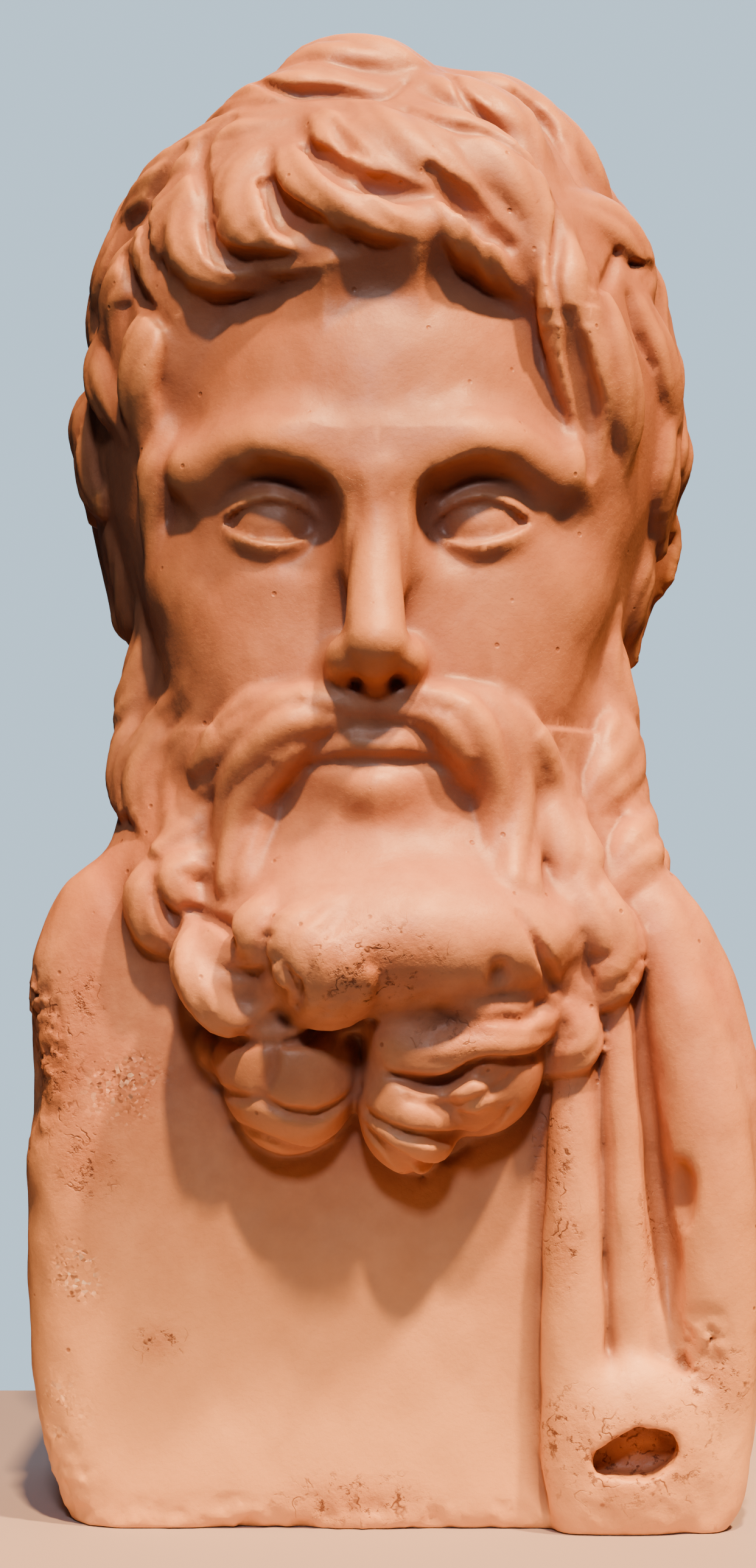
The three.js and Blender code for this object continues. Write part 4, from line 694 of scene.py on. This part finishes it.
def build_cloak(field):
    """A slab over the left shoulder, three falling folds on it and a deep valley between the outer two."""
    def slab(x, y, z):
        inner = HALF_WIDTH * lerp(0.46, 0.6, smoothstep(z, 0.6 * SHOULDER_LEVEL, SHOULDER_LEVEL)) - x
        face = CHEST_OFFSET - 0.2 * CLOAK_THICKNESS - y
        sides = soft_max(outline_distance(x, z) - 0.8, inner, 3)
        return soft_max(sides, np.maximum(face, y - BACK_OFFSET - 1), 2 * EDGE_ROUND)

    low = (0.3 * HALF_WIDTH, CHEST_OFFSET - CLOAK_THICKNESS, -8)
    field.join((low, (HALF_WIDTH, BACK_OFFSET, SHOULDER_LEVEL), slab), 2)
    for stations, blend in ((BORDER, 1.6), (MIDDLE, 1.2), (OUTER, 1.6)):
        field.join(fold(stations), blend)
    field.cut(fold(VALLEY, 2.1), 1.4)
    field.cut(fold(GROOVE, 1.6), 1.6)
    field.cut(ball((0.765 * HALF_WIDTH, CHEST_OFFSET - 4, 0.5 * SHOULDER_LEVEL), (3, 5, 7)), 2)


def build_socket(field):
    """The worn lower end of the cloak, with the socket in it: a skewed oval with a straight lower edge."""
    low, high = (0, -2 * BUST_DEPTH, -FAR), (2 * BUST_WIDTH, 2 * BUST_DEPTH, 0.3 * SHOULDER_LEVEL)
    field.edit(low, high, lambda v, x, y, z: soft_max(v, outline_distance(x, z) - 1.5, 6))
    centre = np.array((0.64 * HALF_WIDTH, CHEST_OFFSET - 2, 0.12 * SHOULDER_LEVEL))
    field.join(ball(centre, (17.5, 7.5, 18)), 4)
    face = CHEST_OFFSET - 9

    def hole(x, y, z):
        u = (x - centre[0]) / (SOCKET_WIDTH / 2)
        v = (z - centre[2]) / (SOCKET_HEIGHT / 2)
        outline = (np.hypot(u - 0.35 * v, np.maximum(v, -0.9)) - 1) * (SOCKET_HEIGHT / 2)
        opening = soft_max(outline, -(v + 0.8) * (SOCKET_HEIGHT / 2), 1)
        return soft_max(opening, np.abs(y - face) - SOCKET_DEPTH, 1.5)

    reach = np.array((SOCKET_WIDTH, SOCKET_DEPTH, SOCKET_HEIGHT))
    middle = np.array((centre[0], face, centre[2]))
    field.cut((middle - reach, middle + reach, hole), 1.5)


# Wear: the whole skin is a little uneven, and rough where the stone is broken


def waves(rng, x, y, z, length, count=14):
    """Uneven relief: plane waves in random directions, about `length` long, over the root of their number."""
    total = 0
    for _ in range(count):
        way = unit(rng.normal(size=3)) * 2 * math.pi / (length * rng.uniform(0.7, 1.4))
        phase = rng.uniform(0, 2 * math.pi)
        total = total + np.sin(way[0] * x + way[1] * y + way[2] * z + phase)
    return total / math.sqrt(count)


BROKEN = [  # where the stone is broken or rough: middle, reach and depth in millimetres
    ((-72, -34, 92), (8, 14, 18), 0.8),
    ((60, -48, 36), (6, 9, 9), 0.9),
    ((47, -46, 12), (26, 12, 17), 0.25),
    ((-20, -42, 2), (60, 12, 5), 0.5),
    ((-70, -38, 10), (14, 14, 14), 0.5),
    ((3, -73, 105), (7, 8, 5), 0.3),
]


def wear(field):
    """Moves the skin by the sum of two uneven reliefs, and by a finer one within the broken places."""
    rng = np.random.default_rng(7)

    def unevened(v, x, y, z):
        relief = 0.16 * waves(rng, x, y, z, 17) + 0.07 * waves(rng, x, y, z, 6)
        return v + relief.astype(np.float32)

    field.edit(field.low, field.low + field.size * field.cell, unevened)
    for middle, reach, depth in BROKEN:
        middle, reach = np.array(middle, float), np.array(reach, float)

        def roughen(v, x, y, z):
            share = sum(((line - m) / r) ** 2 for line, m, r in zip((x, y, z), middle, reach))
            relief = np.abs(waves(rng, x, y, z, 7)) + 0.6 * np.abs(waves(rng, x, y, z, 3.2))
            return v + (depth * relief * np.clip(1.3 - share, 0, 1)).astype(np.float32)

        field.edit(middle - 1.2 * reach, middle + 1.2 * reach, roughen)


def build_field():
    side = max(HALF_WIDTH + 10, 27 * PART)
    top = CHIN_LEVEL + HEAD_HEIGHT + HAIR_RISE + 5 * PART
    field = Field((-side, -32 * PART, -2.4 * CELL), (side, 29 * PART, top), CELL)
    for build in (build_bust, build_chips, build_cloak, build_socket, build_skull, build_face, build_ears,
                  build_hair_mass, build_beard_mass):
        build(field)
    masses = field.copy()
    carve_hair_rows(field, masses)
    carve_drawn_locks(field, masses, HAIR)
    carve_side_locks(field, masses)
    carve_drawn_locks(field, masses, MOUSTACHE + BEARD)
    carve_grooves(field)
    carve_drillings(field)
    wear(field)
    field.edit((-2 * FAR, -2 * FAR, -FAR), (2 * FAR, 2 * FAR, 12), lambda v, x, y, z: np.maximum(v, -z))
    return field


# The skin: a point in each cell that the surface passes through, and a face round each crossed edge


def fill_pinches(inside):
    """Fills cells where the skin would touch itself: where only opposite corners are solid, or empty."""
    across, along, up = np.array(inside.shape) - 1
    for _ in range(12):
        filled = 0
        for axis in range(3):
            s = np.moveaxis(inside, axis, 0)
            a, b, c, d = s[:, :-1, :-1], s[:, 1:, 1:], s[:, 1:, :-1], s[:, :-1, 1:]
            first = a & b & ~c & ~d
            second = c & d & ~a & ~b
            filled += first.sum() + second.sum()
            s[:, 1:, :-1] |= first
            s[:, 1:, 1:] |= second
        for dx, dy in ((0, 0), (0, 1), (1, 0), (1, 1)):
            corner = inside[dx:across + dx, dy:along + dy, :-1]
            opposite = inside[1 - dx:across + 1 - dx, 1 - dy:along + 1 - dy, 1:]
            count = sum(inside[i:across + i, j:along + j, k:up + k].astype(np.int8)
                        for i, j, k in np.ndindex(2, 2, 2))
            lone = corner & opposite & (count == 2)
            gap = ~corner & ~opposite & (count == 6)
            filled += lone.sum() + gap.sum()
            corner |= gap
            inside[dx:across + dx, dy:along + dy, 1:] |= lone
        if not filled:
            return


def skin_of(field):
    """Vertices in millimetres and quads. A cell's point is the mean of the crossings on its edges."""
    values = field.values
    inside = values < 0
    fill_pinches(inside)
    # Filled points are put just inside the stone
    values = np.where(inside, np.minimum(values, -0.02 * field.cell), np.maximum(values, 0.0))
    cells = np.array(inside.shape) - 1
    total = np.zeros((cells.prod(), 3), np.float32)
    hits = np.zeros(cells.prod(), np.int16)
    crossings = []
    for axis in range(3):
        ahead = [slice(None)] * 3
        behind = [slice(None)] * 3
        ahead[axis], behind[axis] = slice(1, None), slice(None, -1)
        crossed = inside[tuple(behind)] != inside[tuple(ahead)]
        nodes = np.argwhere(crossed)
        a = values[tuple(behind)][crossed]
        b = values[tuple(ahead)][crossed]
        point = nodes.astype(np.float32)
        point[:, axis] += a / (a - b)
        flat = []
        for back in ((0, 0), (1, 0), (1, 1), (0, 1)):
            cell = nodes.copy()
            cell[:, (axis + 1) % 3] -= back[0]
            cell[:, (axis + 2) % 3] -= back[1]
            index = np.ravel_multi_index(cell.T, cells)
            for k in range(3):
                total[:, k] += np.bincount(index, point[:, k], len(total)).astype(np.float32)
            hits += np.bincount(index, minlength=len(hits)).astype(np.int16)
            flat.append(index)
        quads = np.stack(flat, axis=1)
        inward = a < 0
        quads[~inward] = quads[~inward][:, ::-1]
        crossings.append(quads)
    used = np.flatnonzero(hits)
    number = np.zeros(len(hits), np.int32)
    number[used] = np.arange(len(used))
    vertices = total[used] / hits[used][:, None] * field.cell + field.low
    return vertices, number[np.vstack(crossings)]


def mesh_of(name, vertices, quads):
    mesh = bpy.data.meshes.new(name)
    mesh.vertices.add(len(vertices))
    mesh.vertices.foreach_set("co", (vertices * MM).astype(np.float32).ravel())
    mesh.loops.add(quads.size)
    mesh.loops.foreach_set("vertex_index", quads.ravel().astype(np.int32))
    mesh.polygons.add(len(quads))
    mesh.polygons.foreach_set("loop_start", np.arange(0, quads.size, 4, dtype=np.int32))
    mesh.update(calc_edges=True)
    return mesh


def thinned(thing, faces):
    """Draws the mesh's edges together until it has about `faces` triangles, and keeps the result."""
    modifier = thing.modifiers.new("thin", "DECIMATE")
    modifier.ratio = min(1, faces / (2 * len(thing.data.polygons)))
    graph = bpy.context.evaluated_depsgraph_get()
    mesh = bpy.data.meshes.new_from_object(thing.evaluated_get(graph))
    thing.modifiers.clear()
    thing.data = mesh
    mesh.shade_smooth()


# Looks


def linear(hex_colour):
    """The linear colour, with alpha, of an sRGB hex value."""
    channels = [int(hex_colour[i:i + 2], 16) / 255 for i in (0, 2, 4)]
    return [c / 12.92 if c <= 0.04045 else ((c + 0.055) / 1.055) ** 2.4 for c in channels] + [1]


def node(tree, kind, inputs=(), output=0, **settings):
    """Adds a shader node with its settings and links, and gives one of its outputs.

    The inputs are values or other nodes' outputs, in the order of the sockets, or by socket in a dictionary.
    """
    made = tree.nodes.new("ShaderNode" + kind)
    for name, value in settings.items():
        setattr(made, name, value)
    by_socket = inputs if isinstance(inputs, dict) else dict(enumerate(inputs))
    for socket, value in by_socket.items():
        if isinstance(value, bpy.types.NodeSocket):
            tree.links.new(value, made.inputs[socket])
        else:
            made.inputs[socket].default_value = value
    return made.outputs[output] if len(made.outputs) else None


def blank_material(name):
    """A new material without nodes, and the function that adds nodes to it."""
    material = bpy.data.materials.new(name)
    material.use_nodes = True
    material.node_tree.nodes.clear()
    return material, partial(node, material.node_tree)


def hollows(field, points, reach):
    """How enclosed points on the skin are: the share of stone in the cube round each, less a half.

    The share is a running mean over `reach` millimetres of the grid, one axis after another.
    """
    share = (field.values < 0).astype(np.float32)
    half = max(1, round(reach / field.cell))
    for axis in range(3):
        margins = [(0, 0)] * 3
        margins[axis] = (half + 1, half)
        padded = np.pad(share, margins, "edge")
        total = np.cumsum(padded, axis, dtype=np.float64).astype(np.float32)
        count = share.shape[axis]
        ahead = total.take(np.arange(2 * half + 1, 2 * half + 1 + count), axis)
        share = (ahead - total.take(np.arange(count), axis)) / (2 * half + 1)
    blurred = field.copy()
    blurred.values = share
    return blurred.at(points) - 0.5


def store(mesh, name, values):
    mesh.attributes.new(name, "FLOAT", "POINT").data.foreach_set("value", values.astype(np.float32))


def patches(points, spots):
    """From 0 to 1, how far points lie within any of the soft ellipsoids `spots`: middle and reach in mm."""
    share = np.zeros(len(points))
    for middle, reach in spots:
        share = np.maximum(share, np.exp(-np.sum(((points - middle) / np.array(reach)) ** 2, axis=1)))
    return share


STAINED = [  # where roots and earth have left brown marks
    ((-68, -42, 92), (7, 14, 15)), ((-60, -42, 72), (6, 8, 8)), ((-46, -42, 37), (5, 8, 4)),
    ((-8, -42, 6), (14, 8, 5)), ((-60, -42, 104), (4, 8, 5)), ((46, -46, 16), (17, 9, 11)),
    ((-4, -72, 113), (13, 9, 6)), ((-4, -73, 110), (12, 9, 9)), ((10, -71, 98), (10, 9, 6)),
    ((31, -46, 74), (4, 8, 16)), ((33, -46, 56), (4, 8, 10)), ((52, -46, 60), (4, 8, 14)),
    ((36, -46, 20), (9, 9, 9)), ((62, -46, 30), (8, 9, 8)),
]
CRYSTALS_AND_GLINTS = [  # where the worn chest shows parted grain, with painted glints on it: painted highlights
    ((-52, -42, 87), (6, 9, 5)), ((-62, -42, 50), (4, 9, 6)), ((-66, -42, 22), (4, 9, 5)),
]
UNEVEN = {  # even noise in the stone: size of its lumps in millimetres, detail, roughness
    "cloud": (28, 4, 0.55),
    "mottle": (4.5, 4, 0.6),
    "weathering": (7, 3, 0.6),
    "bend": (5, 3, 0.5),
    "break": (3.5, 2, 0.5),
    "blot": (2.6, 4, 0.7),
    "peck": (1.4, 4, 0.6),
    "sheen": (6, 3, 0.5),
}
GRAIN = 0.9  # size of the marble's grains, in millimetres


def marble():
    """Marble: a medium-grained white stone, toned salmon by age. Light passes a little way in.

    The skin is worn smooth and waxy. Where it is weathered the grains part and their faces catch the light,
    and some grains are painted pale as glints: painted highlights.
    """
    material, add = blank_material("aged_marble")
    place = add("TexCoord", output="Object")
    level = add("SeparateXYZ", (place,), "Z")
    names = ("hollow", "stain", "crystal_and_glint")
    hollow, stain, weathered = (add("Attribute", output="Fac", attribute_name=name) for name in names)
    uneven = {}
    for name, (lump, detail, rough) in UNEVEN.items():
        inputs = {"Vector": place, "Scale": 1 / (lump * MM), "Detail": detail, "Roughness": rough}
        uneven[name] = add("TexNoise", inputs)

    # Grains: cells with a colour by chance each. Where the stone is weathered, the reddest ones are painted
    # pale: painted glints, standing for light caught by the crystals
    grain = add("TexVoronoi", {"Vector": place, "Scale": 1 / (GRAIN * MM)}, "Color")
    patch = add("MapRange", (uneven["weathering"], 0.45, 0.62))
    crystal_and_glint = add("Math", (weathered, patch), operation="MULTIPLY")
    red = add("SeparateColor", (grain,))
    reddest = add("Math", (red, 0.84), operation="GREATER_THAN")
    painted_glint = add("Math", (reddest, crystal_and_glint), operation="MULTIPLY")

    # Root marks: short winding lines, and blots, thickest within the stained places
    bend = uneven["bend"].node.outputs["Color"]
    bent = add("VectorMath", (bend, (0.006, 0.006, 0.006)), operation="MULTIPLY")
    wound = add("VectorMath", (place, bent), operation="ADD")
    winding = add("TexNoise", {"Vector": wound, "Scale": 1 / (9 * MM), "Detail": 2, "Roughness": 0.5})
    aside = add("Math", (winding, 0.5), operation="SUBTRACT")
    aside = add("Math", (aside,), operation="ABSOLUTE")
    line = add("MapRange", (aside, 0, 0.016, 1, 0))
    for limits in ((uneven["break"], 0.5, 0.58), (stain, 0.15, 0.6)):
        line = add("Math", (line, add("MapRange", limits)), operation="MULTIPLY")
    blot = add("MapRange", (uneven["blot"], 0.56, 0.66))
    soiled = add("MapRange", (stain, 0.2, 0.7))
    blot = add("Math", (blot, soiled), operation="MULTIPLY")
    marks = add("Math", (line, blot), operation="MAXIMUM")

    # Pits: dark specks about 0.8 mm across, in three of ten cells that are 5.5 mm across
    cell = add("TexVoronoi", {"Vector": place, "Scale": 1 / (5.5 * MM)})
    pit = add("MapRange", (cell, 0.05, 0.11, 1, 0))
    green = add("SeparateColor", (cell.node.outputs["Color"],), 1)
    greenest = add("Math", (green, 0.7), operation="GREATER_THAN")
    pits = add("Math", (pit, greenest), operation="MULTIPLY")

    # Tone: clouds, then layers. Each one's share grows to `most` as its value goes from `low` to `high`
    cloud = add("MapRange", (uneven["cloud"], 0.34, 0.66))
    tone = add("Mix", {0: cloud, 6: linear("c07a56"), 7: linear("d69670")}, 2, data_type="RGBA")
    layers = (
        (uneven["mottle"], 0.35, 0.65, 0.4, "ac684c"),
        # The colour is darker and browner on the head than on the bust. Painted light: the bust's foot is
        # painted palest, as if more light reached it
        (level, 0.11, 0.19, 0.75, "925c42"),
        (level, 0.09, 0.02, 0.8, "f0b67a"),
        # Painted shade: hollows are painted redder and darker, where less light reaches. Worn ridges are
        # paler
        (hollow, 0.03, 0.3, 0.7, "7e4c40"),
        (hollow, -0.04, -0.22, 0.4, "e4a268"),
        # Painted glints on the crystals (painted highlights), then earth, root marks, pits
        (painted_glint, 0, 1, 0.75, "ffe9cc"),
        (stain, 0.2, 1, 0.45, "a05a36"),
        (marks, 0, 1, 0.9, "5e2e1e"),
        (pits, 0, 1, 0.65, "8a4d31"),
    )
    for value, low, high, most, colour in layers:
        share = add("MapRange", (value, low, high, 0, most))
        tone = add("Mix", {0: share, 6: tone, 7: linear(colour)}, 2, data_type="RGBA")

    # Relief: grain faces that tilt at random, fine pecking, pits and marks
    facet = add("VectorMath", (place, (1 / (GRAIN * MM),) * 3), operation="MULTIPLY")
    offset = add("VectorMath", (facet, grain.node.outputs["Position"]), operation="SUBTRACT")
    tilt = add("VectorMath", (grain, (0.5, 0.5, 0.5)), operation="SUBTRACT")
    slope = add("VectorMath", (offset, tilt), "Value", operation="DOT_PRODUCT")
    parted = add("MapRange", (crystal_and_glint, 0, 1, 0.05, 0.2))
    facets = add("Math", (slope, parted), operation="MULTIPLY")
    coarse = add("MapRange", (stain, 0, 1, 0.35, 1.4))
    pecks = add("Math", (uneven["peck"], coarse), operation="MULTIPLY")
    raised = add("Math", (facets, pecks), operation="ADD")
    sunk = add("Math", (pits, marks), operation="MAXIMUM")
    sunk = add("Math", (sunk, 0.8), operation="MULTIPLY")
    height = add("Math", (raised, sunk), operation="SUBTRACT")
    bump = add("Bump", {"Height": height, "Strength": 0.5, "Distance": 0.4 * MM})

    # Sheen: waxy, glassier on the crystals and duller on the marks
    rough = add("MapRange", (uneven["sheen"], 0.3, 0.7, 0.42, 0.58))
    glassy = add("Math", (crystal_and_glint, 0.16), operation="MULTIPLY")
    rough = add("Math", (rough, glassy), operation="SUBTRACT")
    dull = add("Math", (marks, 0.25), operation="MULTIPLY")
    rough = add("Math", (rough, dull), operation="ADD")
    shader = add("BsdfPrincipled", {
        "Base Color": tone,
        "Roughness": rough,
        "Normal": bump,
        "IOR": 1.5,
        "Specular IOR Level": 0.5,
        "Subsurface Weight": 0.12,
        "Subsurface Radius": (1.0, 0.6, 0.4),
        "Subsurface Scale": 3 * MM,
    })
    add("OutputMaterial", {"Surface": shader})
    return material


def plain_material(name, kind, inputs):
    """A material of one shader."""
    material, add = blank_material(name)
    add("OutputMaterial", {"Surface": add(kind, inputs)})
    return material


def studio_paper():
    """Seamless studio paper, pale, warm grey and matt."""
    inputs = {"Base Color": linear("a6989a"), "Roughness": 0.9}
    return plain_material("studio_paper", "BsdfPrincipled", inputs)


def lit_backdrop():
    """A sheet of diffusing film lit evenly from behind."""
    return plain_material("lit_backdrop", "Emission", {"Color": linear("b4cfe2"), "Strength": 1.5})


def sheet(name, across, along):
    """A flat grid of quads at z = 0, with lines at the given values of x and y in metres."""
    x, y = np.meshgrid(across, along)
    vertices = np.stack([x, y, 0 * x], axis=-1).reshape(-1, 3)
    columns = len(across)
    corner = (np.arange(len(along) - 1)[:, None] * columns + np.arange(columns - 1)).ravel()
    quads = np.stack([corner, corner + 1, corner + columns + 1, corner + columns], axis=1)
    return mesh_of(name, vertices / MM, quads)


def placed(name, data, location=(0, 0, 0), rotation=(0, 0, 0)):
    thing = bpy.data.objects.new(name, data)
    bpy.context.scene.collection.objects.link(thing)
    thing.location = location
    thing.rotation_euler = rotation
    return thing


LAMPS = [  # name, size in metres, watts, colour, place in metres
    ("high_right", 0.2, 350, "ffc688", (1.24, -1.2, 3.2)),
    ("high_front", 0.16, 275, "ffc688", (0.2, -1.6, 3.13)),
    ("low_front", 0.26, 29, "f8f2f4", (-0.08, -2.1, 1.6)),
    ("behind", 1.0, 8, "dfe8ee", (0.2, 1.4, 1.2)),
]
LIT_POINT = (0, -0.04, 0.13)


def aimed(name, size, watts, colour, location):
    """A square soft light of that size, facing the lit point."""
    light = bpy.data.lights.new(name, "AREA")
    light.size = size
    light.energy = watts
    light.color = linear(colour)[:3]
    way = np.array(LIT_POINT) - np.array(location)
    turn = math.atan2(way[0], -way[1])
    tip = math.atan2(-way[2], math.hypot(way[0], way[1]))
    placed(name, light, location, (math.pi / 2 - tip, 0, turn + math.pi))


def studio():
    """A level camera whose frame is shifted up a little, a floor, a backdrop and soft lamps in a dim room."""
    camera = bpy.data.cameras.new("camera")
    camera.sensor_fit = "VERTICAL"
    camera.sensor_height = 36
    camera.lens = 72.54
    camera.shift_y = 0.075
    bpy.context.scene.camera = placed("camera", camera, (-0.00295, -0.66, 0.123), (math.pi / 2, 0, 0))
    floor = placed("floor", sheet("floor", np.linspace(-0.13, 0.13, 6), np.linspace(-0.1, 0.135, 6)))
    floor.data.materials.append(studio_paper())
    backdrop = placed("backdrop", sheet("backdrop", np.linspace(-0.5, 0.5, 6), np.linspace(-0.4, 1.2, 9)))
    upright = Matrix.Rotation(math.pi / 2, 4, "X")
    backdrop.data.transform(Matrix.Translation((0, 2.2, 0)) @ upright)
    backdrop.data.materials.append(lit_backdrop())
    for lamp in LAMPS:
        aimed(*lamp)
    world = bpy.data.worlds.new("room")
    world.use_nodes = True
    bpy.context.scene.world = world
    room = world.node_tree.nodes["Background"]
    room.inputs["Color"].default_value = linear("c6c4c6")
    room.inputs["Strength"].default_value = 0.04


def build_herm():
    field = build_field()
    vertices, quads = skin_of(field)
    herm = placed("marble_herm", mesh_of("marble_herm", vertices, quads))
    thinned(herm, SKIN_FACES)
    mesh = herm.data
    points = np.empty(3 * len(mesh.vertices), np.float32)
    mesh.vertices.foreach_get("co", points)
    points = points.reshape(-1, 3) / MM
    # How enclosed each point is: it drives the painted shade in the hollows, and the paler worn ridges
    store(mesh, "hollow", hollows(field, points, 3.2) + 0.6 * hollows(field, points, 8))
    store(mesh, "stain", patches(points, STAINED))
    # Where the chest's grain is parted: it also places the painted glints
    store(mesh, "crystal_and_glint", patches(points, CRYSTALS_AND_GLINTS))
    mesh.materials.append(marble())
    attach(herm, "root")
    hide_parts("herm")


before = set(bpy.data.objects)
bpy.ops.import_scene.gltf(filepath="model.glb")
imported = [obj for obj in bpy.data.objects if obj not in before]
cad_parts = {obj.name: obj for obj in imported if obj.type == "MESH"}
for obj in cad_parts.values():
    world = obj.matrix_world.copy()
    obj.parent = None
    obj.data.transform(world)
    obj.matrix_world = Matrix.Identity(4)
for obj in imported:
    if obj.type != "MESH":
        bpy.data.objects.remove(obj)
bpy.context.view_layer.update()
studio()
build_herm()
